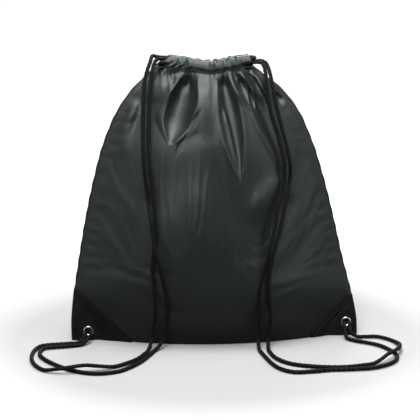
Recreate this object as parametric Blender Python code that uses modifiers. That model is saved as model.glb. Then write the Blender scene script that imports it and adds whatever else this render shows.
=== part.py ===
"""Drawstring backpack, stuffed and standing on its base.

Two sewn fabric panels with a gathered mouth, two braided cords that run through the hem channels and hang
down as shoulder straps, and corner patches whose eyelets hold the ends of the cords.

Metres, +Z up. The base rests on z = 0, the strap side faces -Y, and +X is to the right of someone facing it.
"""

import math

import bmesh
import bpy
from mathutils import Matrix, Vector

OBJECT_NAME = "drawstring_backpack"
REAR = -1
FRONT = 1
LEFT = -1
RIGHT = 1

# Sheet thicknesses, and the air between neighbouring pieces.
FABRIC = 0.0009
PATCH = 0.0011
SEAM_TAPE = 0.001
GAP = 0.0003

# The stuffed bag at each height: how far its left and right edges reach, and how far a panel bulges.
STATIONS = (
    # height, left, right, bulge
    (0.0, 0.175, 0.173, 0.030),
    (0.030, 0.175, 0.171, 0.047),
    (0.100, 0.166, 0.154, 0.060),
    (0.180, 0.151, 0.135, 0.058),
    (0.250, 0.132, 0.113, 0.046),
    (0.300, 0.106, 0.085, 0.027),
    (0.334, 0.072, 0.044, 0.010),
)
EDGE_DEPTH = 0.002
SEAM_EDGE = 0.0014
CORNER_FLAT = 0.80
CORNER_FLAT_HEIGHT = 0.070
SECTION_POWER = 2.2
MOUTH_POWER = 4.0
MOUTH_POWER_FROM = 0.290
SECTION_ROUND = 1.1

# Grid of a panel: columns across it, and the heights of its rows.
PANEL_COLUMNS = 20
COLUMN_CROWDING = 0.35
LIP_STEPS = (0.0, 0.5, 1.0)
PANEL_HEIGHTS = (0.006, 0.02, 0.038, 0.056, 0.068, 0.09, 0.12, 0.15, 0.18)
PANEL_HEIGHTS += (0.21, 0.235, 0.26, 0.28, 0.297, 0.312, 0.324, 0.334)

# Corner patches: how high each reaches up its side edge, and where its slanted edge meets the base.
PATCH_HEIGHT = {LEFT: 0.068, RIGHT: 0.056}
PATCH_BASE = {LEFT: 0.103, RIGHT: 0.115}
PATCH_COLUMNS = 8
PATCH_ROWS = 7
PATCH_TIP = 0.003
PATCH_SEAM_GAP = 0.0010
PATCH_STITCH_INSET = 0.003
PATCH_STITCH_STEPS = 14

# Seams inside the bag.
SEAM_TAPE_WIDTH = 0.005
SEAM_TAPE_INSET = 0.0006
SIDE_SEAM_FROM = 0.008
SIDE_SEAM_TO = 0.328
SIDE_SEAM_STEPS = 16
BOTTOM_SEAM_REACH = 0.163
BOTTOM_SEAM_FROM = 0.0
BOTTOM_SEAM_TO = 0.0055

# Hem channels: flattened tubes along X on top of the panels.
HEM_LEFT = -0.0585
HEM_RIGHT = 0.0425
HEM_BOTTOM = 0.3350
HEM_HALF_HEIGHT = 0.0064
HEM_HALF_WIDTH = 0.0042
HEM_Y = 0.0085
HEM_ARC_STEPS = 6
HEM_Z = HEM_BOTTOM + HEM_HALF_HEIGHT
HEM_STITCH_LEFT = -0.046
HEM_STITCH_RIGHT = 0.031
HEM_STITCH_Y = 0.0124
THREAD_RADIUS = 0.00035

# Cords.
CORD_RADIUS = 0.0025
CORD_SUBSTEPS = 2
LANE_OFFSET = HEM_HALF_HEIGHT - FABRIC - CORD_RADIUS - GAP
UPPER_LANE = HEM_Z + LANE_OFFSET
LOWER_LANE = HEM_Z - LANE_OFFSET
CORD_STUB = 0.008
STRAND_START = {LEFT: HEM_LEFT - CORD_STUB - 4 * GAP, RIGHT: HEM_RIGHT + CORD_STUB + 4 * GAP}
BIGHT_START = 0.001
BIGHT_END_ANGLE = math.radians(60)
BIGHT_STEPS = 7
CORD_ON_FLOOR = CORD_RADIUS + 0.0002
CORD_OVER_CORD = CORD_ON_FLOOR + 0.0058
CORD_LIFT = 0.0012
CORD_END_Y = -0.0068

# Eyelets, turned about an axis along Y through the flat corner.
EYELET_X = {LEFT: -0.1560, RIGHT: 0.1600}
EYELET_Z = {LEFT: 0.0115, RIGHT: 0.0172}
EYELET_RADIUS = 0.0065
EYELET_BORE = 0.0037
EYELET_BARREL = 0.0043
EYELET_DOME = 0.0012
EYELET_ROLL_RADIUS = 0.0054
EYELET_ROLL_HEIGHT = 0.0007
EYELET_ROLL_BEVEL = 0.0004
# The flange's dome: share of the way from bore to rim, and share of its full height.
EYELET_DOME_PROFILE = ((0.0, 0.7), (0.3, 1.0), (0.75, 0.8))
WASHER_BORE = 0.0047
WASHER_THICKNESS = 0.0008
WASHER_BEVEL = 0.0005
EYELET_HOLE = 0.0047
EYELET_STEPS = 24
CUTTER_LENGTH = 0.02
FACE_Y = EDGE_DEPTH + GAP

# Knots behind the corners: the squeezed cord ends, then the knot, then the cut ends.
STEM_RADIUS = 0.0033
STEM_START = CORD_END_Y + 0.0007
KNOT_START = 0.0058
KNOT_RADIUS = 0.0068
KNOT_LENGTH = 0.012
KNOT_STEPS = 8
TAIL_RADIUS = 0.0036
TAIL_END = 0.027
TAIL_BEVEL = 0.001

# Joint axes. The front of the mouth swings about a line along X through the far rim of the base,
# a strap about a line from its eyelet to the end of the mouth, and a cord slides along its lane.
MOUTH_HINGE = (0.0, 0.032, 0.0)
STRAP_PIVOT = {LEFT: (-0.1625, CORD_END_Y, 0.0117), RIGHT: (0.1665, CORD_END_Y, 0.0172)}


def clear_scene():
    for obj in list(bpy.data.objects):
        bpy.data.objects.remove(obj, do_unlink=True)


def new_collection(name):
    collection = bpy.data.collections.new(name)
    bpy.context.scene.collection.children.link(collection)
    return collection


def material(name, color, roughness, metallic=0.0):
    made = bpy.data.materials.new(name)
    made.use_nodes = True
    shader = made.node_tree.nodes["Principled BSDF"]
    shader.inputs["Base Color"].default_value = (*color, 1.0)
    shader.inputs["Roughness"].default_value = roughness
    shader.inputs["Metallic"].default_value = metallic
    return made


def add_object(name, data, finish, collection):
    obj = bpy.data.objects.new(name, data)
    data.materials.append(finish)
    collection.objects.link(obj)
    return obj


def joint_empty(name, place, collection):
    """A parent on a joint's axis, for the pieces that move with it."""
    empty = bpy.data.objects.new(name, None)
    empty.location = place
    collection.objects.link(empty)
    return empty


def hold(empty, *objects):
    """Parents these objects to the empty and leaves them where they are."""
    for obj in objects:
        obj.parent = empty
        obj.matrix_parent_inverse = Matrix.Translation(empty.location).inverted()


# ---- The surface of the stuffed bag ----


def smoothstep(value):
    value = min(max(value, 0.0), 1.0)
    return value * value * (3.0 - 2.0 * value)


def mix(a, b, amount):
    return a + (b - a) * amount


def station_slope(index, column):
    """The slope of a station's value with height, from its neighbours."""
    low = STATIONS[max(index - 1, 0)]
    high = STATIONS[min(index + 1, len(STATIONS) - 1)]
    return (high[column] - low[column]) / (high[0] - low[0])


def station_value(height, column):
    """A cubic through the stations, evaluated at this height."""
    height = min(max(height, STATIONS[0][0]), STATIONS[-1][0])
    index = 0
    while index < len(STATIONS) - 2 and height > STATIONS[index + 1][0]:
        index += 1
    low, high = STATIONS[index], STATIONS[index + 1]
    span = high[0] - low[0]
    t = (height - low[0]) / span
    value = low[column] * (2 * t**3 - 3 * t**2 + 1) + high[column] * (3 * t**2 - 2 * t**3)
    value += station_slope(index, column) * span * (t**3 - 2 * t**2 + t)
    value += station_slope(index + 1, column) * span * (t**3 - t**2)
    return value


def edge_reach(side, height):
    """How far the bag reaches to its left or right edge at this height."""
    return station_value(height, 1 if side == LEFT else 2)


def panel_depth(x, height):
    """Distance of a panel's outer face from the middle plane, y = 0."""
    across = min(abs(x) / edge_reach(LEFT if x < 0 else RIGHT, height), 1.0)
    flat_from = mix(CORNER_FLAT, 1.0, smoothstep(height / CORNER_FLAT_HEIGHT))
    mouth = smoothstep((height - MOUTH_POWER_FROM) / (STATIONS[-1][0] - MOUTH_POWER_FROM))
    power = mix(SECTION_POWER, MOUTH_POWER, mouth)
    crest = max(1.0 - (across / flat_from) ** power, 0.0) ** SECTION_ROUND
    return EDGE_DEPTH + station_value(height, 3) * crest


def slanted_edge(side, height):
    """Reach of the line along which a corner patch is sewn to its panel."""
    top = PATCH_HEIGHT[side]
    if height >= top:
        return edge_reach(side, height)
    return mix(PATCH_BASE[side], edge_reach(side, top), height / top)


def lip_point(face, x, step):
    """A point of the base, from the bottom seam to the rim that stands on the ground."""
    return Vector((x, face * mix(SEAM_EDGE, panel_depth(x, 0.0), step), 0.0))


def wall_point(face, x, height):
    return Vector((x, face * panel_depth(x, height), height))


def spread(low, high, columns):
    """Positions from low to high, closer together near both ends."""
    for column in range(columns + 1):
        even = column / columns
        yield mix(low, high, mix(even, smoothstep(even), COLUMN_CROWDING))


def sheet(name, rows, flip, thickness, offset, finish, collection):
    """A closed shell from rows of points: an open grid with a Solidify modifier."""
    model = bmesh.new()
    grid = [[model.verts.new(point) for point in row] for row in rows]
    for lower, upper in zip(grid, grid[1:]):
        for column in range(len(lower) - 1):
            corners = [lower[column], lower[column + 1], upper[column + 1], upper[column]]
            face = model.faces.new(corners[::-1] if flip else corners)
            face.smooth = True
    mesh = bpy.data.meshes.new(name)
    model.to_mesh(mesh)
    model.free()
    obj = add_object(name, mesh, finish, collection)
    solidify = obj.modifiers.new("Thickness", "SOLIDIFY")
    solidify.thickness = thickness
    solidify.offset = offset
    return obj


def panel(name, face, finish, collection):
    base = [-slanted_edge(LEFT, 0.0), slanted_edge(RIGHT, 0.0)]
    rows = [[lip_point(face, x, step) for x in spread(*base, PANEL_COLUMNS)] for step in LIP_STEPS]
    for height in PANEL_HEIGHTS:
        ends = [-slanted_edge(LEFT, height), slanted_edge(RIGHT, height)]
        rows.append([wall_point(face, x, height) for x in spread(*ends, PANEL_COLUMNS)])
    return sheet(name, rows, face == FRONT, FABRIC, -1.0, finish, collection)


def patch_ends(side, height):
    outer = side * edge_reach(side, height)
    inner = side * (slanted_edge(side, height) + PATCH_SEAM_GAP)
    return sorted([outer, inner])


def corner_patch(name, face, side, finish, collection):
    ends = patch_ends(side, 0.0)
    rows = [[lip_point(face, x, step) for x in spread(*ends, PATCH_COLUMNS)] for step in LIP_STEPS]
    for row in range(1, PATCH_ROWS + 1):
        height = (PATCH_HEIGHT[side] - PATCH_TIP) * row / PATCH_ROWS
        ends = patch_ends(side, height)
        rows.append([wall_point(face, x, height) for x in spread(*ends, PATCH_COLUMNS)])
    return sheet(name, rows, face == FRONT, PATCH, -1.0, finish, collection)


def side_seam(name, side, finish, collection):
    rows = []
    for step in range(SIDE_SEAM_STEPS + 1):
        height = mix(SIDE_SEAM_FROM, SIDE_SEAM_TO, step / SIDE_SEAM_STEPS)
        outer = edge_reach(side, height) - SEAM_TAPE_INSET
        rows.append([Vector((side * reach, 0.0, height)) for reach in (outer, outer - SEAM_TAPE_WIDTH)])
    return sheet(name, rows, side == RIGHT, SEAM_TAPE, 0.0, finish, collection)


def bottom_seam(name, finish, collection):
    heights = (BOTTOM_SEAM_FROM, BOTTOM_SEAM_TO)
    ends = (-BOTTOM_SEAM_REACH, BOTTOM_SEAM_REACH)
    rows = [[Vector((x, 0.0, height)) for x in ends] for height in heights]
    return sheet(name, rows, False, SEAM_TAPE, 0.0, finish, collection)


# ---- Hem channels ----


def slot_outline(half_height, half_width):
    """A slot with round ends, standing upright, counter-clockwise."""
    straight = half_height - half_width
    points = []
    for step in range(2 * HEM_ARC_STEPS + 2):
        half, along = divmod(step, HEM_ARC_STEPS + 1)
        angle = math.pi * (half + along / HEM_ARC_STEPS)
        centre = straight if half == 0 else -straight
        points.append((half_width * math.cos(angle), centre + half_width * math.sin(angle)))
    return points


def hem_channel(name, face, finish, collection):
    curve = bpy.data.curves.new(name, "CURVE")
    curve.dimensions = "2D"
    curve.fill_mode = "BOTH"
    curve.extrude = (HEM_RIGHT - HEM_LEFT) / 2
    for shrink in (0.0, FABRIC):
        outline = slot_outline(HEM_HALF_HEIGHT - shrink, HEM_HALF_WIDTH - shrink)
        spline = curve.splines.new("POLY")
        spline.points.add(len(outline) - 1)
        for point, (across, up) in zip(spline.points, outline):
            point.co = (across, up, 0.0, 1.0)
        spline.use_cyclic_u = True
    obj = add_object(name, curve, finish, collection)
    turn = Matrix(((0, 0, 1), (1, 0, 0), (0, 1, 0))).to_4x4()
    obj.matrix_world = Matrix.Translation(((HEM_LEFT + HEM_RIGHT) / 2, face * HEM_Y, HEM_Z)) @ turn
    return obj


# ---- Cords and threads ----


def between(start, end, low, high, at):
    """The point at this value of a line that runs from start at low to end at high."""
    return start.lerp(end, (at - low) / (high - low))


def smooth_path(points, substeps):
    """A centripetal Catmull-Rom curve through the points, as a list of points along it."""
    points = [Vector(point) for point in points]
    ends = [2 * points[0] - points[1], *points, 2 * points[-1] - points[-2]]
    path = []
    for control in zip(ends, ends[1:], ends[2:], ends[3:]):
        at = [0.0]
        for start, end in zip(control, control[1:]):
            at.append(at[-1] + math.sqrt((end - start).length))
        for step in range(substeps):
            now = mix(at[1], at[2], step / substeps)
            lines = [between(control[i], control[i + 1], at[i], at[i + 1], now) for i in range(3)]
            bends = [between(lines[i], lines[i + 1], at[i], at[i + 2], now) for i in range(2)]
            path.append(between(*bends, at[1], at[2], now))
    path.append(points[-1])
    return path


def tube(name, points, radius, finish, collection):
    curve = bpy.data.curves.new(name, "CURVE")
    curve.dimensions = "3D"
    curve.bevel_depth = radius
    curve.bevel_resolution = 2
    curve.use_fill_caps = True
    spline = curve.splines.new("POLY")
    spline.points.add(len(points) - 1)
    for point, place in zip(spline.points, points):
        point.co = (*place, 1.0)
    return add_object(name, curve, finish, collection)


def strand(name, points, finish, collection):
    """A cord along a smooth path through the points, kept above the floor."""
    path = smooth_path(points, CORD_SUBSTEPS)
    for point in path:
        point.z = max(point.z, CORD_ON_FLOOR)
    return tube(name, path, CORD_RADIUS, finish, collection)


def on_panel(x, height, lift=CORD_LIFT):
    """Centre of a cord that lies against the strap side at this place."""
    return (x, -panel_depth(x, height) - CORD_RADIUS - lift, height)


def on_floor(x, y, height=CORD_ON_FLOOR):
    return (x, y, height)


def rear_run(name, side, lane, finish, collection):
    """The cord through the rear channel, with its bight round the far end of the mouth.

    side is where this cord leaves the bag; the bight is at the other side."""
    start, end = (HEM_LEFT, HEM_RIGHT) if side == LEFT else (HEM_RIGHT, HEM_LEFT)
    centre = end - side * BIGHT_START
    points = [Vector((start + side * CORD_STUB, -HEM_Y, lane))]
    for step in range(BIGHT_STEPS + 1):
        angle = mix(-math.pi / 2, BIGHT_END_ANGLE, step / BIGHT_STEPS)
        points.append(Vector((centre - side * HEM_Y * math.cos(angle), HEM_Y * math.sin(angle), lane)))
    return tube(name, points, CORD_RADIUS, finish, collection)


def front_run(name, side, lane, finish, collection):
    ends = [HEM_LEFT, HEM_RIGHT] if side == LEFT else [HEM_RIGHT, HEM_LEFT]
    points = [Vector((ends[0] + side * CORD_STUB, HEM_Y, lane)), Vector((ends[1], HEM_Y, lane))]
    return tube(name, points, CORD_RADIUS, finish, collection)


def over_the_mouth(side, face, lane):
    """The first, straight piece of a strand as it leaves its channel."""
    return [
        (STRAND_START[side], face * HEM_Y, lane),
        (STRAND_START[side] + side * 0.002, face * HEM_Y, lane),
    ]


def left_rear_strand():
    """From the rear channel, down the strap side, out over the floor and back to the eyelet."""
    return over_the_mouth(LEFT, REAR, UPPER_LANE) + [
        (-0.073, -0.014, 0.341),
        (-0.077, -0.020, 0.326),
        (-0.081, -0.031, 0.280),
        (-0.082, -0.043, 0.230),
        on_panel(-0.077, 0.180),
        on_panel(-0.075, 0.140),
        on_panel(-0.079, 0.103),
        (-0.076, -0.053, 0.050),
        (-0.081, -0.050, 0.010),
        on_floor(-0.085, -0.060),
        on_floor(-0.099, -0.094),
        on_floor(-0.127, -0.122),
        on_floor(-0.159, -0.133, CORD_OVER_CORD),
        on_floor(-0.176, -0.139, CORD_OVER_CORD),
        on_floor(-0.206, -0.129),
        on_floor(-0.220, -0.098),
        on_floor(-0.221, -0.058),
        on_floor(-0.212, -0.033),
        on_floor(-0.190, -0.027),
        on_floor(-0.169, -0.023),
        (-0.161, -0.016, 0.007),
        (-0.159, -0.011, 0.011),
        (-0.159, CORD_END_Y, 0.011),
    ]


def left_front_strand():
    """From the front channel over the end of the mouth, then beside the other strand."""
    return over_the_mouth(LEFT, FRONT, UPPER_LANE) + [
        (-0.075, 0.003, 0.346),
        (-0.078, -0.008, 0.341),
        (-0.085, -0.020, 0.321),
        (-0.088, -0.031, 0.279),
        (-0.088, -0.043, 0.225),
        on_panel(-0.083, 0.180),
        on_panel(-0.081, 0.163, CORD_LIFT + 0.005),
        on_panel(-0.075, 0.120, CORD_LIFT + 0.007),
        (-0.065, -0.058, 0.080),
        (-0.062, -0.054, 0.052),
        (-0.068, -0.049, 0.010),
        on_floor(-0.076, -0.058),
        on_floor(-0.093, -0.100),
        on_floor(-0.121, -0.139),
        on_floor(-0.147, -0.146),
        on_floor(-0.171, -0.135),
        on_floor(-0.198, -0.103),
        on_floor(-0.213, -0.068),
        on_floor(-0.208, -0.043),
        on_floor(-0.190, -0.038),
        on_floor(-0.164, -0.030),
        (-0.155, -0.018, 0.008),
        (-0.153, -0.011, 0.012),
        (-0.153, CORD_END_Y, 0.012),
    ]


def right_rear_strand():
    """From the rear channel, as on the left but bowed towards the edge and then back."""
    return over_the_mouth(RIGHT, REAR, LOWER_LANE) + [
        (0.056, -0.014, 0.333),
        (0.058, -0.020, 0.318),
        (0.062, -0.028, 0.287),
        (0.071, -0.034, 0.256),
        (0.078, -0.040, 0.224),
        on_panel(0.077, 0.204),
        on_panel(0.070, 0.174),
        on_panel(0.065, 0.145),
        on_panel(0.055, 0.108),
        (0.048, -0.060, 0.078),
        (0.047, -0.057, 0.040),
        (0.047, -0.055, 0.010),
        on_floor(0.047, -0.065),
        on_floor(0.052, -0.100),
        on_floor(0.062, -0.139),
        on_floor(0.078, -0.156),
        on_floor(0.120, -0.151),
        on_floor(0.172, -0.146),
        on_floor(0.200, -0.122),
        on_floor(0.206, -0.095),
        on_floor(0.191, -0.056),
        on_floor(0.166, -0.036),
        on_floor(0.158, -0.026, CORD_ON_FLOOR + 0.001),
        (0.157, -0.018, 0.009),
        (0.157, -0.012, 0.017),
        (0.157, CORD_END_Y, 0.017),
    ]


def right_front_strand():
    """From the front channel over the end of the mouth, then outside the other strand."""
    return over_the_mouth(RIGHT, FRONT, LOWER_LANE) + [
        (0.059, 0.003, 0.337),
        (0.062, -0.010, 0.330),
        (0.065, -0.019, 0.315),
        (0.069, -0.026, 0.290),
        (0.077, -0.033, 0.258),
        (0.085, -0.038, 0.222),
        on_panel(0.085, 0.204),
        on_panel(0.078, 0.172),
        on_panel(0.072, 0.145),
        on_panel(0.062, 0.108),
        (0.058, -0.059, 0.078),
        (0.061, -0.055, 0.040),
        (0.059, -0.054, 0.010),
        on_floor(0.058, -0.064),
        on_floor(0.063, -0.100),
        on_floor(0.078, -0.124),
        on_floor(0.105, -0.137),
        on_floor(0.140, -0.141),
        on_floor(0.175, -0.129),
        on_floor(0.193, -0.114, CORD_OVER_CORD),
        on_floor(0.206, -0.097, CORD_OVER_CORD),
        on_floor(0.215, -0.072, CORD_OVER_CORD - 0.002),
        on_floor(0.213, -0.042),
        on_floor(0.195, -0.021),
        on_floor(0.170, -0.021, CORD_ON_FLOOR + 0.001),
        (0.164, -0.018, 0.009),
        (0.163, -0.012, 0.017),
        (0.163, CORD_END_Y, 0.017),
    ]


STRANDS = {
    "left_strap_rear_strand": left_rear_strand,
    "left_strap_front_strand": left_front_strand,
    "right_strap_rear_strand": right_rear_strand,
    "right_strap_front_strand": right_front_strand,
}


def hem_stitching(name, face, finish, collection):
    ends = (HEM_STITCH_LEFT, HEM_STITCH_RIGHT)
    points = [Vector((x, face * HEM_STITCH_Y, HEM_BOTTOM)) for x in ends]
    return tube(name, points, THREAD_RADIUS, finish, collection)


def patch_stitching(name, face, side, finish, collection):
    """The row of stitches along a patch's slanted edge."""
    points = []
    for step in range(PATCH_STITCH_STEPS + 1):
        height = mix(0.003, PATCH_HEIGHT[side] - 2 * PATCH_TIP, step / PATCH_STITCH_STEPS)
        reach = slanted_edge(side, height) + PATCH_STITCH_INSET
        depth = panel_depth(side * reach, height) + THREAD_RADIUS + 3 * GAP
        points.append(Vector((side * reach, face * depth, height)))
    return tube(name, points, THREAD_RADIUS, finish, collection)


# ---- Eyelets and knots ----


def turned(name, profile, side, finish, collection):
    """Turns an outline of (radius, y) about the eyelet's axis."""
    mesh = bpy.data.meshes.new(name)
    model = bmesh.new()
    ring = [model.verts.new((radius, 0.0, along)) for radius, along in profile]
    for start, end in zip(ring, ring[1:] + ring[:1]):
        model.edges.new((start, end))
    model.to_mesh(mesh)
    model.free()
    obj = add_object(name, mesh, finish, collection)
    screw = obj.modifiers.new("Turn", "SCREW")
    screw.axis = "Z"
    screw.steps = EYELET_STEPS
    screw.render_steps = EYELET_STEPS
    screw.use_merge_vertices = True
    screw.merge_threshold = 1e-6
    screw.use_normal_flip = True
    screw.use_smooth_shade = True
    turn = Matrix(((1, 0, 0), (0, 0, 1), (0, -1, 0))).to_4x4()
    obj.matrix_world = Matrix.Translation((EYELET_X[side], 0.0, EYELET_Z[side])) @ turn
    return obj


def eyelet(name, side, finish, collection):
    """Domed flange on the strap side, a barrel through the patches, and its end rolled over the washer."""
    roll = FACE_Y + WASHER_THICKNESS + 2 * GAP
    profile = []
    for across, up in EYELET_DOME_PROFILE:
        profile.append((mix(EYELET_BORE, EYELET_RADIUS, across), -FACE_Y - up * EYELET_DOME))
    profile += [
        (EYELET_RADIUS, -FACE_Y),
        (EYELET_BARREL, -FACE_Y),
        (EYELET_BARREL, roll),
        (EYELET_ROLL_RADIUS, roll),
        (EYELET_ROLL_RADIUS - EYELET_ROLL_BEVEL, roll + EYELET_ROLL_HEIGHT),
        (EYELET_BORE, roll + EYELET_ROLL_HEIGHT),
    ]
    return turned(name, profile, side, finish, collection)


def washer(name, side, finish, collection):
    far = FACE_Y + WASHER_THICKNESS
    profile = [
        (WASHER_BORE, FACE_Y),
        (EYELET_RADIUS, FACE_Y),
        (EYELET_RADIUS, mix(FACE_Y, far, 0.5)),
        (EYELET_RADIUS - WASHER_BEVEL, far),
        (WASHER_BORE, far),
    ]
    return turned(name, profile, side, finish, collection)


def knot(name, side, finish, collection):
    """The squeezed cord ends through the eyelet, the knot behind it and the cut ends."""
    middle = KNOT_START + KNOT_LENGTH / 2
    profile = [(0.0, STEM_START), (STEM_RADIUS, STEM_START), (STEM_RADIUS, KNOT_START)]
    for step in range(1, KNOT_STEPS):
        angle = math.pi * step / KNOT_STEPS
        radius = max(KNOT_RADIUS * math.sin(angle), STEM_RADIUS)
        profile.append((radius, middle - KNOT_LENGTH / 2 * math.cos(angle)))
    profile += [(TAIL_RADIUS, TAIL_END - TAIL_BEVEL), (TAIL_RADIUS - TAIL_BEVEL, TAIL_END), (0.0, TAIL_END)]
    return turned(name, profile, side, finish, collection)


def cylinder_cutter(name, side, collection):
    """Cuts the eyelet's hole through both patches of a corner."""
    model = bmesh.new()
    bmesh.ops.create_cone(
        model,
        cap_ends=True,
        segments=EYELET_STEPS,
        radius1=EYELET_HOLE,
        radius2=EYELET_HOLE,
        depth=CUTTER_LENGTH,
        matrix=Matrix.Rotation(math.pi / 2, 4, "X"),
    )
    mesh = bpy.data.meshes.new(name)
    model.to_mesh(mesh)
    model.free()
    obj = bpy.data.objects.new(name, mesh)
    collection.objects.link(obj)
    obj.location = (EYELET_X[side], 0.0, EYELET_Z[side])
    obj.hide_render = True
    obj.display_type = "WIRE"
    return obj


def cut(obj, cutter):
    boolean = obj.modifiers.new("Eyelet hole", "BOOLEAN")
    boolean.operation = "DIFFERENCE"
    boolean.object = cutter


def build():
    clear_scene()
    parts = new_collection(OBJECT_NAME)
    cutters = new_collection("cutters")
    fabric = material("Bag fabric", (0.030, 0.032, 0.033), 0.55)
    patch_sheet = material("Corner patch", (0.010, 0.010, 0.011), 0.38)
    cord = material("Braided cord", (0.006, 0.006, 0.007), 0.80)
    thread = material("Sewing thread", (0.014, 0.014, 0.015), 0.70)
    metal = material("Eyelet metal", (0.78, 0.78, 0.79), 0.25, 1.0)

    faces = {"rear": REAR, "front": FRONT}
    sides = {"left": LEFT, "right": RIGHT}
    for face_name, face in faces.items():
        sewn = [
            panel(f"{face_name}_panel", face, fabric, parts),
            hem_channel(f"{face_name}_hem_channel", face, fabric, parts),
            hem_stitching(f"{face_name}_hem_stitching", face, thread, parts),
        ]
        if face == FRONT:
            hold(joint_empty("mouth_hinge", MOUTH_HINGE, parts), *sewn)
    for side_name, side in sides.items():
        cutter = cylinder_cutter(f"{side_name}_eyelet_cutter", side, cutters)
        for face_name, face in faces.items():
            where = f"{side_name}_{face_name}"
            cut(corner_patch(f"{where}_corner_patch", face, side, patch_sheet, parts), cutter)
            patch_stitching(f"{where}_patch_stitching", face, side, thread, parts)
        side_seam(f"{side_name}_side_seam", side, thread, parts)
        eyelet(f"{side_name}_eyelet", side, metal, parts)
        washer(f"{side_name}_eyelet_washer", side, metal, parts)
        knot(f"{side_name}_knot", side, cord, parts)
        lane = UPPER_LANE if side == LEFT else LOWER_LANE
        for face_name, run in (("rear", rear_run), ("front", front_run)):
            exit_place = (STRAND_START[side], faces[face_name] * HEM_Y, lane)
            slide = joint_empty(f"{side_name}_{face_name}_slide", exit_place, parts)
            hold(slide, run(f"{side_name}_cord_{face_name}_run", side, lane, cord, parts))
    bottom_seam("bottom_seam", thread, parts)
    for side_name, side in sides.items():
        pivot = joint_empty(f"{side_name}_strap_pivot", STRAP_PIVOT[side], parts)
        for name, path in STRANDS.items():
            if name.startswith(side_name):
                hold(pivot, strand(name, path(), cord, parts))


build()
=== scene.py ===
"""The looks of the drawstring backpack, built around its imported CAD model.

Metres, +Z up, strap side towards -Y. Sizes are in metres unless a name says otherwise.
"""

import math
import random

import bpy
import numpy as np
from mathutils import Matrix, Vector
from mathutils.bvhtree import BVHTree


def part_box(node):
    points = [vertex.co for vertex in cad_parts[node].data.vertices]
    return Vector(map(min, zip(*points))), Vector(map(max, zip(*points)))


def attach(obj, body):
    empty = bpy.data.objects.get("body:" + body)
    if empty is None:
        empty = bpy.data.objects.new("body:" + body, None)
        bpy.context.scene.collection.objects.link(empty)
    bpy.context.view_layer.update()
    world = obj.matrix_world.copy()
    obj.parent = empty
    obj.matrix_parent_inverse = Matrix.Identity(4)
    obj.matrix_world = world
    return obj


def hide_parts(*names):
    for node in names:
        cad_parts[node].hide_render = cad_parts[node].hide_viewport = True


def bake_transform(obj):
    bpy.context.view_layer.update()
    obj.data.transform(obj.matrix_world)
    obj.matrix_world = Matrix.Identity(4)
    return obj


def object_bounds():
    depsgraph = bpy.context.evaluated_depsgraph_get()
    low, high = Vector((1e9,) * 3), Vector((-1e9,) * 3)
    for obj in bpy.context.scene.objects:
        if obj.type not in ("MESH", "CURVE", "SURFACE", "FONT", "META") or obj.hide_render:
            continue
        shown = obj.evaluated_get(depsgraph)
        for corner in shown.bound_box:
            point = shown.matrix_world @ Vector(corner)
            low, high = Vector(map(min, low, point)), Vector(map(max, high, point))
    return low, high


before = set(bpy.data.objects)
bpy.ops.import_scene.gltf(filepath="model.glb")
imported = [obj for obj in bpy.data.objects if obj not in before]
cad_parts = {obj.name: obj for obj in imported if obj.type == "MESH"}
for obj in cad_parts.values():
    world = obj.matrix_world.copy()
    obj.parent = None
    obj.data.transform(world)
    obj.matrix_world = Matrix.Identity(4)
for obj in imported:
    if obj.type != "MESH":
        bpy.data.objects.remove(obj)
CAD_LOW, CAD_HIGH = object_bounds()

REAR, FRONT = -1, 1
LEFT, RIGHT = -1, 1
FACES = {"rear": REAR, "front": FRONT}
SIDES = {"left": LEFT, "right": RIGHT}

# The bag's shape between the heights where the CAD model is measured.
STATION_HEIGHTS = (0.001, 0.02, 0.05, 0.1, 0.15, 0.2, 0.25, 0.285, 0.31, 0.325, 0.3335)
EDGE_DEPTH = 0.002
CORNER_FLAT = 0.80
CORNER_FLAT_HEIGHT = 0.070
SECTION_POWER, MOUTH_POWER, MOUTH_POWER_FROM = 2.2, 4.0, 0.290
SECTION_ROUND = 1.1

# Fabric mesh.
COLUMNS = 180
LIP_ROWS, WALL_ROWS, HEM_ROWS = 6, 140, 26
FABRIC_THICKNESS = 0.0005
BASE_SAG = 0.0004
HOLE_MARGIN = 0.0019
BASE_CLEARANCE = 0.0014
HEM_END_SLANT = 0.0040
HEM_TILT = 0.0032
BODY_TOP = 0.3352

# Cloth simulation: how long it runs, and how much of its movement is kept.
CLOTH_FRAMES = 14
CLOTH_SHARE, CLOTH_CAP = 0.38, 0.004
CLOTH_GRAVITY = 0.15
# What it holds still, each as where holding starts and over what distance it fades in.
PIN_TOP, PIN_BASE, PIN_EDGE = (0.215, 0.080), (0.022, 0.020), (0.016, 0.014)
PIN_CORNER_ACROSS, PIN_CORNER_HEIGHT = (0.095, 0.015), (0.085, 0.015)
CLOTH_SETTINGS = {
    "quality": 5,
    "mass": 0.15,
    "tension_stiffness": 18,
    "compression_stiffness": 18,
    "shear_stiffness": 6,
    "bending_stiffness": 0.35,
    "air_damping": 2,
    "vertex_group_mass": "pinned",
    "pin_stiffness": 1.0,
    "shrink_min": -0.010,
    "use_pressure": True,
    "uniform_pressure_force": 1.0,
}

# The gathered mouth: its channel's box, and how far the channel's middle is from the middle plane.
MOUTH_LOW, MOUTH_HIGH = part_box("rear_hem_channel")
MOUTH_CENTRE = (MOUTH_LOW.x + MOUTH_HIGH.x) / 2
MOUTH_WIDTH = MOUTH_HIGH.x - MOUTH_LOW.x
CHANNEL_Y = abs(MOUTH_LOW.y + MOUTH_HIGH.y) / 2
CHANNEL_HALF = (MOUTH_HIGH.y - MOUTH_LOW.y) / 2
HEM_JOIN_FROM = 0.308


def smoothstep(value):
    value = np.clip(value, 0.0, 1.0)
    return value * value * (3.0 - 2.0 * value)


def mix(a, b, amount):
    return a + (b - a) * amount


def path_lengths(points):
    """Distance travelled along a path at each of its points."""
    return np.r_[0.0, np.cumsum(np.linalg.norm(np.diff(points, axis=0), axis=1))]


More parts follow.
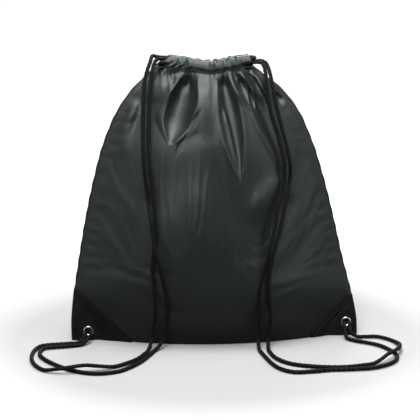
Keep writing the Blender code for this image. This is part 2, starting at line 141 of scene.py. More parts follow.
def cubic(values, slopes, index, span, t):
    """A smooth curve through these values, at share t of the span that starts at each index."""
    low, high = values[index], values[index + 1]
    straight = low * (2 * t**3 - 3 * t**2 + 1) + high * (3 * t**2 - 2 * t**3)
    return straight + slopes[index] * span * (t**3 - 2 * t**2 + t) + slopes[index + 1] * span * (t**3 - t**2)


# ---- Measuring the CAD model ----


def cad_tree(*nodes):
    """One search tree over the faces of these CAD nodes."""
    points, faces = [], []
    for node in nodes:
        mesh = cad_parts[node].data
        first = len(points)
        points += [vertex.co.copy() for vertex in mesh.vertices]
        faces += [[first + index for index in polygon.vertices] for polygon in mesh.polygons]
    return BVHTree.FromPolygons(points, faces)


def measure_stations():
    """Left reach, right reach and bulge of the rear panel at each station height."""
    tree = cad_tree("rear_panel", "left_rear_corner_patch", "right_rear_corner_patch")
    rows = []
    for height in STATION_HEIGHTS:
        left = tree.ray_cast(Vector((-1, -0.8 * EDGE_DEPTH, height)), Vector((1, 0, 0)))[0]
        right = tree.ray_cast(Vector((1, -0.8 * EDGE_DEPTH, height)), Vector((-1, 0, 0)))[0]
        middle = tree.ray_cast(Vector((0, -1, height)), Vector((0, 1, 0)))[0]
        rows.append((-left.x, right.x, -middle.y - EDGE_DEPTH))
    return np.array(rows)


STATIONS = measure_stations()


def station(column, height):
    """One measured column at any height."""
    at = np.array(STATION_HEIGHTS)
    values = STATIONS[:, column]
    height = np.clip(height, at[0], at[-1])
    index = np.clip(np.searchsorted(at, height) - 1, 0, len(at) - 2)
    span = at[index + 1] - at[index]
    return cubic(values, np.gradient(values, at), index, span, (height - at[index]) / span)


def reach(side, height):
    return station(0 if side == LEFT else 1, height)


def panel_depth(x, height):
    """Distance of the smooth panel from the middle plane."""
    edge = np.where(x < 0, reach(LEFT, height), reach(RIGHT, height))
    across = np.clip(np.abs(x) / edge, 0.0, 1.0)
    flat_from = mix(CORNER_FLAT, 1.0, smoothstep(height / CORNER_FLAT_HEIGHT))
    mouth = smoothstep((height - MOUTH_POWER_FROM) / (STATION_HEIGHTS[-1] - MOUTH_POWER_FROM))
    power = mix(SECTION_POWER, MOUTH_POWER, mouth)
    crest = np.clip(1.0 - (across / flat_from) ** power, 0.0, 1.0) ** SECTION_ROUND
    smooth = EDGE_DEPTH + station(2, height) * crest
    under_hem = smoothstep((height - HEM_JOIN_FROM) / (BODY_TOP - HEM_JOIN_FROM))
    hem = -MOUTH_LOW.y * smoothstep((edge - np.abs(x)) / 0.016)
    return np.maximum(smooth, mix(smooth, hem, under_hem))


# ---- Folds of the gathered fabric ----

FOLD_TOP = BODY_TOP - 0.001
BAG_HEIGHT = CAD_HIGH.z

# The folds fan out below the mouth: sideways run per metre of drop, for each metre from the mouth's centre.
FAN = 19.0
# Gathers of the strap side: place along the mouth (0 left, 1 right), drop, half width, rise.
# A rise below zero is a valley.
REAR_GATHERS = (
    (0.10, 0.060, 0.0080, 0.0030),
    (0.20, 0.050, 0.0045, 0.0030),
    (0.46, 0.085, 0.0100, 0.0065),
    (0.70, 0.050, 0.0035, 0.0045),
    (0.84, 0.055, 0.0040, 0.0042),
    (0.99, 0.045, 0.0050, 0.0034),
)
# Creases away from the mouth: across (-1 left edge, 1 right edge) and height (share of the bag's) of the
# upper end, degrees from straight down towards +X, length, half width, rise.
REAR_CREASES = (
    (0.06, 0.84, 13, 0.080, 0.0022, 0.0046),
    (-0.17, 0.84, -29, 0.075, 0.0022, -0.0028),
    (0.62, 0.61, -40, 0.085, 0.0120, 0.0055),
    (0.72, 0.55, -36, 0.095, 0.0130, -0.0055),
    (0.84, 0.87, 40, 0.022, 0.0045, -0.0060),
    (-0.78, 0.88, -24, 0.080, 0.0085, -0.0042),
    (-0.90, 0.86, -20, 0.080, 0.0080, 0.0034),
    (-0.55, 0.58, -12, 0.110, 0.0140, -0.0040),
    (-0.25, 0.62, 12, 0.150, 0.0280, 0.0022),
)
# Hollows of the strap side: place along the mouth of the upper end, then the tip's place across and height as
# for creases, greatest half width, depth, share of the length over which it closes to its tip.
REAR_HOLLOWS = (
    (0.14, -0.66, 0.92, 0.0075, 0.0055, 0.50),
    (0.29, -0.43, 0.71, 0.0165, 0.0125, 0.26),
    (0.63, 0.20, 0.59, 0.0130, 0.0115, 0.38),
    (0.76, 0.46, 0.81, 0.0080, 0.0080, 0.40),
    (0.92, 0.63, 0.61, 0.0120, 0.0090, 0.50),
)
SOFT_TAPER = 7.0
FRONT_HOLLOW_COUNT = 6
FRONT_GATHER_COUNT = 14
FRONT_CREASE_COUNT = 12
FRONT_SEED = 11


def gather(place, drop, width, rise):
    """A fold that hangs from the mouth and leans away from its centre."""
    start = MOUTH_LOW.x + place * MOUTH_WIDTH
    lean = FAN * (start - MOUTH_CENTRE)
    return ((start, FOLD_TOP), (start + lean * drop, FOLD_TOP - drop)), width, rise


def crease(across, level, degrees, length, width, rise):
    """A crease that starts on the panel and runs downwards."""
    height = level * BAG_HEIGHT
    edge = float(reach(LEFT if across < 0 else RIGHT, height))
    start = (across * edge, height)
    angle = math.radians(degrees)
    end = (start[0] + length * math.sin(angle), height - length * math.cos(angle))
    return (start, end), width, rise


def hollow(place, across, level, width, depth, taper):
    """A sunken leaf shape from the mouth down to a tip."""
    height = level * BAG_HEIGHT
    edge = float(reach(LEFT if across < 0 else RIGHT, height))
    return ((MOUTH_LOW.x + place * MOUTH_WIDTH, FOLD_TOP), (across * edge, height)), width, depth, taper


def hollow_height(shape, x, z):
    """Depth of a hollow, with a crisp raised rim that closes to a V at its tip."""
    line, width, depth, taper = shape
    (ax, az), (bx, bz) = line
    length = math.dist(*line)
    along = ((x - ax) * (bx - ax) + (z - az) * (bz - az)) / length**2
    aside = np.abs((x - ax) * (bz - az) - (z - az) * (bx - ax)) / length
    closing = np.clip((1.0 - along) / taper, 0.0, None)
    closing = 1.0 - np.log1p(np.exp(-SOFT_TAPER * (closing - 1.0))) / np.log1p(np.exp(SOFT_TAPER))
    closing = np.clip(closing, 0.0, 1.0)
    half = width * mix(0.5, 1.0, smoothstep(along / 0.45)) * np.clip(closing, 0.05, 1.0) ** 0.75
    u = aside / half
    full = depth * closing**0.8
    past = np.exp(-((np.clip(along - 1.0, 0.0, None) * length / 0.004) ** 2))
    rim = 0.22 * depth * closing**0.3 * past * np.exp(-(((u - 1.0) / np.where(u > 1.0, 0.45, 0.16)) ** 2))
    rim = rim * np.clip(1.0 - np.clip(along - 1.0, 0.0, None) * 20, 0.0, 1.0)
    return rim - full * np.clip(1.0 - u**2, 0.0, 1.0)


def front_hollows():
    rng = random.Random(FRONT_SEED + 1)
    shapes = []
    for index in range(FRONT_HOLLOW_COUNT):
        place = (index + rng.uniform(0.3, 0.7)) / FRONT_HOLLOW_COUNT
        across = 1.4 * (place - 0.5) + rng.uniform(-0.1, 0.1)
        width, depth = rng.uniform(0.007, 0.015), rng.uniform(0.0045, 0.0080)
        shapes.append(hollow(place, across, rng.uniform(0.58, 0.82), width, depth, rng.uniform(0.35, 0.6)))
    return shapes


def front_folds():
    """Gathers and creases of the far side, in the same manner as the strap side's."""
    rng = random.Random(FRONT_SEED)
    folds = []
    for index in range(FRONT_GATHER_COUNT):
        place = (index + rng.uniform(0.2, 0.8)) / FRONT_GATHER_COUNT
        rise = (1 if index % 2 else -1) * rng.uniform(0.0030, 0.0052)
        folds.append(gather(place, rng.uniform(0.040, 0.080), rng.uniform(0.0040, 0.0068), rise))
    for index in range(FRONT_CREASE_COUNT):
        across, level = rng.uniform(-0.8, 0.8), rng.uniform(0.30, 0.82)
        rise = (1 if index % 2 else -1) * rng.uniform(0.0016, 0.0030)
        degrees = 40 * across + rng.uniform(-20, 20)
        folds.append(crease(across, level, degrees, rng.uniform(0.09, 0.15), rng.uniform(0.010, 0.018), rise))
    return folds


def along_line(line, x, z):
    """Distance from a straight line, and how far along it (0 to 1) the nearest point is."""
    (ax, az), (bx, bz) = line
    along = ((x - ax) * (bx - ax) + (z - az) * (bz - az)) / math.dist(*line) ** 2
    along = np.clip(along, 0.0, 1.0)
    return np.hypot(x - mix(ax, bx, along), z - mix(az, bz, along)), along


def fold_height(fold, x, z):
    line, width, rise = fold
    away, along = along_line(line, x, z)
    spread = width * mix(0.8, 1.5, along)
    fade_out = 1.0 - smoothstep((along - 0.45) / 0.55)
    fade_in = 1.0 if line[0][1] >= FOLD_TOP else smoothstep(along / 0.25)
    return rise * np.exp(-((away / spread) ** 2)) * mix(0.15, 1.0, fade_out) * fade_in


FOLDS = {
    REAR: [gather(*values) for values in REAR_GATHERS] + [crease(*values) for values in REAR_CREASES],
    FRONT: front_folds(),
}

# Soft lumps of what is packed inside: centre (x, z), radii (x, z), height.
LUMPS = (
    ((-0.075, 0.120), (0.045, 0.070), 0.0040),
    ((0.060, 0.070), (0.050, 0.045), 0.0035),
    ((0.000, 0.070), (0.070, 0.050), 0.0022),
    ((0.030, 0.165), (0.040, 0.050), -0.0030),
    ((-0.060, 0.200), (0.040, 0.035), -0.0020),
)

FRONT_LUMP_SHIFT = 0.05

# Small gathers under the hem: number, how far down they fade, heights of the large and small ones.
PLEATS, PLEAT_FADE = 9, 0.020
LARGE_PLEAT, SMALL_PLEAT = 0.0014, 0.0002
# Puckers along the side seams: height, distance apart, how far in they run.
PUCKER_HEIGHT, PUCKER_PITCH, PUCKER_REACH = 0.0011, 0.017, 0.014
# The hem leans with a share of the folds under it: limits, smoothing window and fade at its ends.
HEM_SWAY_SHARE = {REAR: 0.5, FRONT: 0.35}
HEM_SWAY_IN, HEM_SWAY_OUT = 0.0020, 0.0032
HEM_SWAY_WINDOW, HEM_SWAY_FADE = 0.012, 0.014
HEM_SWAY_FROM = 0.310
# Sag of the mouth between its ends, and how much of the small gathers shows in the hem's top line.
HEM_DIP, HEM_DIP_WIDTH, HEM_DIP_FROM = 0.0072, 0.030, 0.300
HEM_CROWN_WAVE = 0.85

HOLLOWS = {REAR: [hollow(*values) for values in REAR_HOLLOWS], FRONT: front_hollows()}


def pleats(face, x, z):
    """Small uneven gathers that hang from the hem, above zero where they stand out."""
    phase = 0.0 if face == REAR else 1.7
    place = (x - MOUTH_LOW.x) / MOUTH_WIDTH
    wave = np.sin(2 * math.pi * PLEATS * place + 2.6 * np.sin(7.0 * place + phase) + phase)
    fine = np.sin(2 * math.pi * 2.3 * PLEATS * place + 2.2 * np.sin(5.0 * place + 2 * phase))
    uneven = 0.55 + 0.45 * np.sin(11.0 * place + 2.0 * np.sin(23.0 * place + phase))
    below = np.clip(BODY_TOP - z, 0.0, None)
    large = LARGE_PLEAT * uneven * wave * np.exp(-((below / (1.2 * PLEAT_FADE)) ** 2))
    small = SMALL_PLEAT * fine * np.exp(-((below / (0.4 * PLEAT_FADE)) ** 2))
    return large + small


def seam_pucker(face, x, z):
    """Small puckers that run in from the side seams."""
    edge = np.where(x < 0, reach(LEFT, z), reach(RIGHT, z))
    inward = np.clip(edge - np.abs(x), 0.0, None)
    wave = np.sin(2 * math.pi * z / PUCKER_PITCH + 2.5 * np.sin(z / 0.021) + face)
    near = np.exp(-((inward / PUCKER_REACH) ** 2)) * smoothstep(inward / 0.003)
    return PUCKER_HEIGHT * wave * near * smoothstep((z - 0.07) / 0.03) * smoothstep((0.32 - z) / 0.03)


def lumps(face, x, z):
    total = np.zeros(x.shape)
    shift = 0.0 if face == REAR else FRONT_LUMP_SHIFT
    for (cx, cz), (rx, rz), height in LUMPS:
        total += height * np.exp(-(((x - cx - shift) / rx) ** 2) - (((z - cz) / rz) ** 2))
    return total


def folds_height(face, x, z):
    total = np.zeros(np.shape(x))
    for fold in FOLDS[face]:
        total = total + fold_height(fold, x, z)
    for shape in HOLLOWS[face]:
        total = total + hollow_height(shape, x, z)
    return total


def sway_table(face):
    """The hem's lean along the mouth: slow, so that stiff cords slide through it, and none at its ends."""
    x = np.linspace(MOUTH_LOW.x, MOUTH_HIGH.x, 401)
    folds = folds_height(face, x, np.full_like(x, FOLD_TOP))
    lean = np.clip(HEM_SWAY_SHARE[face] * folds, -HEM_SWAY_IN, HEM_SWAY_OUT)
    half = int(HEM_SWAY_WINDOW / (x[1] - x[0]))
    window = np.hanning(2 * half + 1)
    lean = np.convolve(np.pad(lean, half, mode="edge"), window / window.sum(), mode="valid")
    from_end = np.minimum(x - MOUTH_LOW.x, MOUTH_HIGH.x - x)
    return x, lean * smoothstep(from_end / HEM_SWAY_FADE)


SWAY = {face: sway_table(face) for face in (REAR, FRONT)}


def hem_sway(face, x):
    """How far the whole hem, with the cords in it, leans out of line."""
    return np.interp(x, *SWAY[face])


def relief(face, x, z):
    """How far the fabric stands out from the smooth panel."""
    total = folds_height(face, x, z) + seam_pucker(face, x, z) + lumps(face, x, z)
    total = mix(total, hem_sway(face, x), smoothstep((z - HEM_SWAY_FROM) / (BODY_TOP - HEM_SWAY_FROM)))
    total = total + pleats(face, x, z)
    edge = np.where(x < 0, reach(LEFT, z), reach(RIGHT, z))
    room = smoothstep((edge - np.abs(x)) / mix(0.020, 0.006, smoothstep((z - 0.28) / 0.05)))
    return total * room * smoothstep((z - 0.004) / 0.03)


def hem_dip(x, z):
    """The mouth sags a little between its two ends."""
    bump = np.exp(-(((x - MOUTH_CENTRE) / HEM_DIP_WIDTH) ** 2))
    return HEM_DIP * bump * smoothstep((z - HEM_DIP_FROM) / (BODY_TOP - HEM_DIP_FROM))


def measure_patches():
    """Each side's patch: how far in its slanted edge starts on the base, and how high it reaches."""
    inner, top = {}, {}
    for name, side in SIDES.items():
        low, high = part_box(f"{name}_rear_corner_patch")
        inner[side] = -high.x if side == LEFT else low.x
        top[side] = high.z
    return inner, top


PATCH_INNER, PATCH_TOP = measure_patches()


def eyelet_axis(side_name):
    """Centre and radius of an eyelet's flange."""
    low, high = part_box(f"{side_name}_eyelet")
    return Vector(((low.x + high.x) / 2, 0.0, (low.z + high.z) / 2)), (high.x - low.x) / 2


EYELETS = {side: eyelet_axis(name) for name, side in SIDES.items()}


def over_eyelet(place):
    """True inside the hole that an eyelet's flange covers."""
    for centre, radius in EYELETS.values():
        if math.hypot(place[0] - centre.x, place[2] - centre.z) < radius - HOLE_MARGIN:
            return True
    return False


# ---- Making meshes ----


def make_object(name, points, faces, finish, uvs=None):
    mesh = bpy.data.meshes.new(name)
    mesh.from_pydata([tuple(point) for point in points], [], faces)
    if uvs is not None:
        layer = mesh.uv_layers.new(name="UVMap")
        corners = np.zeros(len(mesh.loops), np.int32)
        mesh.loops.foreach_get("vertex_index", corners)
        layer.data.foreach_set("uv", np.asarray(uvs, np.float32)[corners].ravel())
    mesh.polygons.foreach_set("use_smooth", [True] * len(mesh.polygons))
    mesh.materials.append(finish)
    obj = bpy.data.objects.new(name, mesh)
    bpy.context.scene.collection.objects.link(obj)
    return obj


def grid_faces(index, flip):
    """Quads over a grid of point numbers, turned over where flip is set."""
    faces = []
    for low, high in zip(index, index[1:]):
        for corners in zip(low, low[1:], high[1:], high):
            quad = [int(corner) for corner in corners]
            faces.append(quad[::-1] if flip else quad)
    return faces


def apply_modifiers(obj):
    """Replaces the object's mesh by its evaluated one."""
    graph = bpy.context.evaluated_depsgraph_get()
    made = bpy.data.meshes.new_from_object(obj.evaluated_get(graph), depsgraph=graph)
    obj.modifiers.clear()
    old = obj.data
    obj.data = made
    bpy.data.meshes.remove(old)
    return obj


def coordinates(mesh):
    points = np.zeros(len(mesh.vertices) * 3, np.float32)
    mesh.vertices.foreach_get("co", points)
    return points.reshape(-1, 3).astype(float)


def set_coordinates(mesh, points):
    mesh.vertices.foreach_set("co", np.asarray(points, np.float32).ravel())
    mesh.update()


def solidify(obj, thickness, offset=-1.0):
    modifier = obj.modifiers.new("Thickness", "SOLIDIFY")
    modifier.thickness = thickness
    modifier.offset = offset


def stand_for(obj, slot, *nodes, body=None):
    """Hides the CAD nodes that a piece replaces and parents it to the empty of the body it rides; without a
    body its placement is baked into its mesh.
    """
    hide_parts(*nodes)
    if body:
        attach(obj, body)
    else:
        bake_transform(obj)


# ---- Materials ----


class Nodes:
    """Short names for building a material's node tree."""

    def __init__(self, name):
        self.material = bpy.data.materials.new(name)
        self.material.use_nodes = True
        self.tree = self.material.node_tree
        self.shader = self.tree.nodes["Principled BSDF"]

    def add(self, kind, **settings):
        node = self.tree.nodes.new(kind)
        for key, value in settings.items():
            if key in node.inputs:
                node.inputs[key].default_value = value
            else:
                setattr(node, key, value)
        return node

    def link(self, source, target):
        self.tree.links.new(source, target)

    def mix_colors(self, factor, first, second):
        """Colour mix; its sockets are picked by place because the value and colour ones share names."""
        node = self.add("ShaderNodeMix", data_type="RGBA")
        for slot, value in ((0, factor), (6, first), (7, second)):
            if isinstance(value, tuple):
                node.inputs[slot].default_value = (*value, 1.0)
            else:
                self.link(value, node.inputs[slot])
        return node.outputs[2]

    def math(self, operation, a, b=None, clamp=False):
        node = self.add("ShaderNodeMath", operation=operation, use_clamp=clamp)
        for slot, value in zip(node.inputs, (a, b)):
            if value is None:
                continue
            if isinstance(value, (int, float)):
                slot.default_value = value
            else:
                self.link(value, slot)
        return node.outputs[0]

    def ramp(self, factor, stops):
        node = self.add("ShaderNodeValToRGB")
        elements = node.color_ramp.elements
        while len(elements) < len(stops):
            elements.new(0.5)
        for element, (place, color) in zip(elements, stops):
            element.position = place
            element.color = (*color, 1.0) if not isinstance(color, float) else (color, color, color, 1.0)
        self.link(factor, node.inputs[0])
        return node.outputs[0]

    def noise(self, vector, scale, detail=4.0, roughness=0.5, distortion=0.0):
        settings = {"Scale": scale, "Detail": detail, "Roughness": roughness, "Distortion": distortion}
        node = self.add("ShaderNodeTexNoise", **settings)
        self.link(vector, node.inputs["Vector"])
        return node.outputs[0]

    def bump(self, height, distance, strength=1.0, normal=None):
        node = self.add("ShaderNodeBump", Strength=strength, Distance=distance)
        self.link(height, node.inputs["Height"])
        if normal is not None:
            self.link(normal, node.inputs["Normal"])
        return node.outputs[0]

    def stretched(self, vector, scales):
        """A vector scaled by these amounts along U and V."""
        node = self.add("ShaderNodeMapping", Scale=(*scales, 1.0))
        self.link(vector, node.inputs["Vector"])
        return node.outputs[0]

    def finish(self, inputs):
        """Sets or links the shader's inputs, and hands over the material."""
        for name, value in inputs.items():
            if isinstance(value, bpy.types.NodeSocket):
                self.link(value, self.shader.inputs[name])
            else:
                self.shader.inputs[name].default_value = value
        return self.material

    def uv(self):
        return self.add("ShaderNodeTexCoord").outputs["UV"]

    def place(self):
        return self.add("ShaderNodeTexCoord").outputs["Object"]


def woven(nodes, uv, pitch):
    """Height of a plain weave whose threads are this far apart, from UVs in metres."""
    parts = nodes.add("ShaderNodeSeparateXYZ")
    nodes.link(uv, parts.inputs[0])
    turns = 2 * math.pi / pitch
    across = nodes.math("MULTIPLY", parts.outputs[0], turns / 2)
    along = nodes.math("MULTIPLY", parts.outputs[1], turns / 2)
    both = nodes.math("MULTIPLY", nodes.math("SINE", across), nodes.math("SINE", along))
    warp = nodes.math("ABSOLUTE", nodes.math("SINE", across))
    weft = nodes.math("ABSOLUTE", nodes.math("SINE", along))
    over = nodes.math("GREATER_THAN", both, 0.0)
    under = nodes.math("SUBTRACT", 1.0, over)
    return nodes.math("ADD", nodes.math("MULTIPLY", warp, over), nodes.math("MULTIPLY", weft, under))


def bag_fabric():
    """Charcoal polyester taffeta: fine plain weave, soft sheen, faint creases, and a painted highlight that
    lightens the raised folds.
    """
    nodes = Nodes("bag_fabric")
    uv, place = nodes.uv(), nodes.place()
    weave = woven(nodes, uv, 0.00055)
    cloudy = nodes.noise(place, 22.0, 5.0, 0.6)
    creases = nodes.noise(place, 85.0, 6.0, 0.65, 0.6)
    streaks = nodes.noise(nodes.stretched(uv, (900.0, 60.0)), 1.0, 2.0, 0.5)
    tone = nodes.math("ADD", nodes.math("MULTIPLY", cloudy, 0.7), nodes.math("MULTIPLY", streaks, 0.3))
    color = nodes.ramp(tone, ((0.30, (0.0060, 0.0068, 0.0068)), (0.70, (0.0100, 0.0112, 0.0110))))
    # Painted highlight: raised folds, found by the mesh's pointiness, get a lighter colour, so the valleys
    # between them read as shaded.
    pointed = nodes.add("ShaderNodeNewGeometry").outputs["Pointiness"]
    ridge_highlight_mask = nodes.ramp(pointed, ((0.50, 0.0), (0.62, 1.0)))
    ridge_highlight_color = nodes.mix_colors(nodes.math("MULTIPLY", ridge_highlight_mask, 0.4), color, (0.045, 0.049, 0.048))
    broad = nodes.bump(nodes.noise(place, 13.0, 1.0, 0.4), 0.0060, 0.28)
    low = nodes.bump(creases, 0.0010, 0.30, broad)
    return nodes.finish(
        {
            "Base Color": ridge_highlight_color,
            "Roughness": nodes.math("ADD", nodes.math("MULTIPLY", cloudy, 0.12), 0.29),
            "Normal": nodes.bump(weave, 0.00007, 0.8, low),
            "Specular IOR Level": 0.75,
            "Specular Tint": (0.88, 1.0, 0.98, 1.0),
            "Sheen Weight": 0.04,
            "Sheen Roughness": 0.45,
            "Sheen Tint": (0.75, 0.80, 0.80, 1.0),
        }
    )


def patch_leather():
    """Smooth black coated sheet with a fine pebble and soft scuffs."""
    nodes = Nodes("patch_leather")
    place = nodes.place()
    cells = nodes.add("ShaderNodeTexVoronoi", feature="SMOOTH_F1", Scale=1500.0)
    nodes.link(place, cells.inputs["Vector"])
    scuffs = nodes.noise(place, 60.0, 6.0, 0.7, 1.0)
    color = nodes.ramp(scuffs, ((0.35, (0.0040, 0.0040, 0.0045)), (0.75, (0.0085, 0.0088, 0.0092))))
    waves = nodes.bump(nodes.noise(place, 140.0, 3.0), 0.0006, 0.35)
    return nodes.finish(
        {
            "Base Color": color,
            "Roughness": nodes.ramp(scuffs, ((0.3, 0.30), (0.8, 0.46))),
            "Normal": nodes.bump(cells.outputs["Distance"], 0.00006, 0.6, waves),
            "Specular IOR Level": 0.4,
        }
    )


def cord_fibre():
    """Black braided polyester: fine fibres along each plait, matte with a faint sheen, and painted shade in
    the braid's valleys.
    """
    nodes = Nodes("cord_fibre")
    uv, place = nodes.uv(), nodes.place()
    fibres = nodes.noise(nodes.stretched(uv, (5200.0, 2600.0)), 1.0, 3.0, 0.6)
    patchy = nodes.noise(place, 120.0, 3.0)
    tone = nodes.math("ADD", nodes.math("MULTIPLY", fibres, 0.6), nodes.math("MULTIPLY", patchy, 0.4))
    color = nodes.ramp(tone, ((0.30, (0.0020, 0.0020, 0.0022)), (0.75, (0.0068, 0.0070, 0.0072))))
    # Painted shade: where pointiness is low, in the braid's valleys, the colour turns near black.
    pointed = nodes.add("ShaderNodeNewGeometry").outputs["Pointiness"]
    raised = nodes.ramp(pointed, ((0.46, 0.0), (0.56, 1.0)))
    return nodes.finish(
        {
            "Base Color": nodes.mix_colors(raised, (0.0012, 0.0012, 0.0014), color),
            "Roughness": nodes.ramp(fibres, ((0.3, 0.55), (0.8, 0.80))),
            "Normal": nodes.bump(fibres, 0.00012, 0.8),
            "Specular IOR Level": 0.16,
            "Sheen Weight": 0.03,
            "Sheen Roughness": 0.4,
        }
    )


def sewing_thread():
    """Twisted black sewing thread."""
    nodes = Nodes("sewing_thread")
    place = nodes.place()
    bands = {"wave_type": "BANDS", "bands_direction": "DIAGONAL", "Scale": 900.0, "Distortion": 1.5}
    twist = nodes.add("ShaderNodeTexWave", **bands)
    nodes.link(place, twist.inputs["Vector"])
    color = nodes.ramp(twist.outputs["Fac"], ((0.2, (0.008, 0.008, 0.009)), (0.8, (0.026, 0.027, 0.028))))
    rough = nodes.ramp(nodes.noise(place, 400.0), ((0.3, 0.45), (0.7, 0.65)))
    raised = nodes.bump(twist.outputs["Fac"], 0.0001, 0.6)
    return nodes.finish({"Base Color": color, "Roughness": rough, "Normal": raised})


def eyelet_metal():
    """Nickel plate with fine turning marks and small scratches."""
    nodes = Nodes("eyelet_metal")
    place = nodes.place()
    scratches = nodes.noise(place, 900.0, 6.0, 0.75, 2.0)
    smears = nodes.noise(place, 160.0, 3.0)
    color = nodes.ramp(smears, ((0.3, (0.62, 0.61, 0.58)), (0.7, (0.80, 0.79, 0.77))))
    rough = nodes.ramp(scratches, ((0.35, 0.16), (0.75, 0.38)))
    marks = nodes.bump(scratches, 0.00004, 0.5)
    return nodes.finish({"Base Color": color, "Roughness": rough, "Normal": marks, "Metallic": 1.0})


FABRIC = bag_fabric()
PATCH = patch_leather()
CORD = cord_fibre()
THREAD = sewing_thread()
METAL = eyelet_metal()


# ---- Bag body ----


def wall_heights():
    """Row heights of the wall, closer together towards the gathered mouth and the base."""
    even = np.linspace(0.0, 1.0, WALL_ROWS)
    shaped = mix(even, 1.0 - (1.0 - even) ** 1.7, 0.75)
    return BODY_TOP * shaped


def base_lift(x):
    """The base stays just above the corner patches that are folded under it."""
    inner = np.where(x < 0, PATCH_INNER[LEFT], PATCH_INNER[RIGHT])
    return BASE_CLEARANCE * smoothstep((np.abs(x) - inner + 0.006) / 0.006)


def hem_path(steps):
    """The turned hem seen from its end, as (distance from the middle plane, height): from the outer stitch
    line up, over the top and down to the inner stitch line."""
    outer, inner = CHANNEL_Y + CHANNEL_HALF, CHANNEL_Y - CHANNEL_HALF
    crown = MOUTH_HIGH.z - CHANNEL_HALF
    corners = [(CHANNEL_Y + 0.86 * CHANNEL_HALF, BODY_TOP), (outer, BODY_TOP + 0.0020), (outer, crown)]
    for angle in np.linspace(0, math.pi, 9)[1:-1]:
        corners.append((CHANNEL_Y + CHANNEL_HALF * math.cos(angle), crown + CHANNEL_HALF * math.sin(angle)))
    corners += [(inner, crown), (inner, BODY_TOP + 0.0008)]
    corners.append((CHANNEL_Y + 0.05 * CHANNEL_HALF, BODY_TOP - 0.0016))
    corners = np.array(corners)
    lengths = path_lengths(corners)
    at = np.linspace(0.0, lengths[-1], steps + 1)[1:]
    return np.stack([np.interp(at, lengths, column) for column in corners.T], axis=1)


def hem_ends(up):
    """The hem's two ends slant inwards towards its top."""
    left = mix(-reach(LEFT, BODY_TOP), MOUTH_LOW.x + HEM_END_SLANT, up)
    right = mix(reach(RIGHT, BODY_TOP), MOUTH_HIGH.x - HEM_END_SLANT, up)
    return left, right


def body_grid(face):
    """Points of one half of the bag, row by row: under the base, up the wall and over the hem."""
    across = np.linspace(0.0, 1.0, COLUMNS + 1)
    rows = []
    x = mix(-reach(LEFT, 0.0), reach(RIGHT, 0.0), across)
    rim = panel_depth(x, np.zeros_like(x))
    for step in np.linspace(0.0, 1.0, LIP_ROWS, endpoint=False):
        rows.append(np.stack([x, face * rim * step, BASE_SAG + base_lift(x)], axis=1))
    for height in wall_heights():
        z = np.full_like(across, height)
        x = mix(-reach(LEFT, z), reach(RIGHT, z), across)
        out = panel_depth(x, z) + relief(face, x, z)
        side = np.minimum(across, 1.0 - across) * 2.0
        out = out * smoothstep(side / 0.012) ** 0.5
        z = np.maximum(z - hem_dip(x, z), BASE_SAG + base_lift(x))
        rows.append(np.stack([x, face * out, z], axis=1))
    wall_top = rows[-1][:, 1] * face
    hem_height = MOUTH_HIGH.z - BODY_TOP
    for step, (out, height) in enumerate(hem_path(HEM_ROWS), 1):
        up = float(np.clip((height - BODY_TOP) / hem_height, 0.0, 1.0))
        left, right = hem_ends(up)
        x = mix(left, right, across)
        from_end = np.minimum(x - left, right - x)
        wave = pleats(face, x, np.full_like(x, FOLD_TOP)) * smoothstep(from_end / HEM_SWAY_FADE)
        outer = float(smoothstep((out - CHANNEL_Y + 0.0035) / 0.005))
        depth = out + hem_sway(face, x) + wave * mix(-0.2, 0.6, outer) * mix(1.0, 0.7, up)
        joined = smoothstep(step / 4)
        depth = mix(wall_top, depth + HEM_TILT * (0.5 - up), joined)
        z = height + HEM_CROWN_WAVE * wave * up - hem_dip(x, np.full_like(x, BODY_TOP))
        rows.append(np.stack([x, face * depth, z], axis=1))
    return np.array(rows)


def bag_mesh():
    """Rear and front halves welded along the bottom and the side seams."""
    grids = {face: body_grid(face) for face in (REAR, FRONT)}
    rows, columns = grids[REAR].shape[:2]
    index = {REAR: np.arange(rows * columns).reshape(rows, columns)}
    points = [grids[REAR].reshape(-1, 3)]
    uvs = []
    front = np.full((rows, columns), -1)
    front[0, :] = index[REAR][0, :]
    shared = rows - HEM_ROWS
    front[:shared, 0] = index[REAR][:shared, 0]
    front[:shared, -1] = index[REAR][:shared, -1]
    free = front < 0
    front[free] = rows * columns + np.arange(free.sum())
    points.append(grids[FRONT][free])
    index[FRONT] = front
    for face in (REAR, FRONT):
        grid = grids[face]
        up = path_lengths(grid[:, columns // 2])
        across = np.linspace(0.0, 0.35, columns)
        uv = np.stack(np.meshgrid(across, up), axis=2)
        uvs.append(uv.reshape(-1, 2) if face == REAR else uv[free])
    faces = grid_faces(index[REAR], False) + grid_faces(index[FRONT], True)
    return np.concatenate(points), faces, np.concatenate(uvs)


def settle_cloth(obj, pinned):
    """Runs Blender's cloth on a piece and applies a share of how it moved, and none where it is pinned."""
    start = coordinates(obj.data)
    group = obj.vertex_groups.new(name="pinned")
    for index, weight in enumerate(pinned):
        if weight > 0:
            group.add([index], float(weight), "REPLACE")
    cloth = obj.modifiers.new("Cloth", "CLOTH")
    for key, value in CLOTH_SETTINGS.items():
        setattr(cloth.settings, key, value)
    cloth.settings.effector_weights.gravity = CLOTH_GRAVITY
    cloth.collision_settings.use_collision = False
    scene = bpy.context.scene
    scene.frame_start, scene.frame_end = 1, CLOTH_FRAMES
    cloth.point_cache.frame_start, cloth.point_cache.frame_end = 1, CLOTH_FRAMES
    for step in range(1, CLOTH_FRAMES + 1):
        scene.frame_set(step)
    graph = bpy.context.evaluated_depsgraph_get()
    made = obj.evaluated_get(graph).to_mesh()
    settled = coordinates(made)
    obj.evaluated_get(graph).to_mesh_clear()
    obj.modifiers.clear()
    scene.frame_set(1)
    obj.vertex_groups.clear()
    moved = settled - start
    moved *= CLOTH_SHARE * (1.0 - np.asarray(pinned)[:, None])
    length = np.linalg.norm(moved, axis=1, keepdims=True)
    moved *= np.minimum(1.0, CLOTH_CAP / np.maximum(length, 1e-9))
    set_coordinates(obj.data, start + moved)


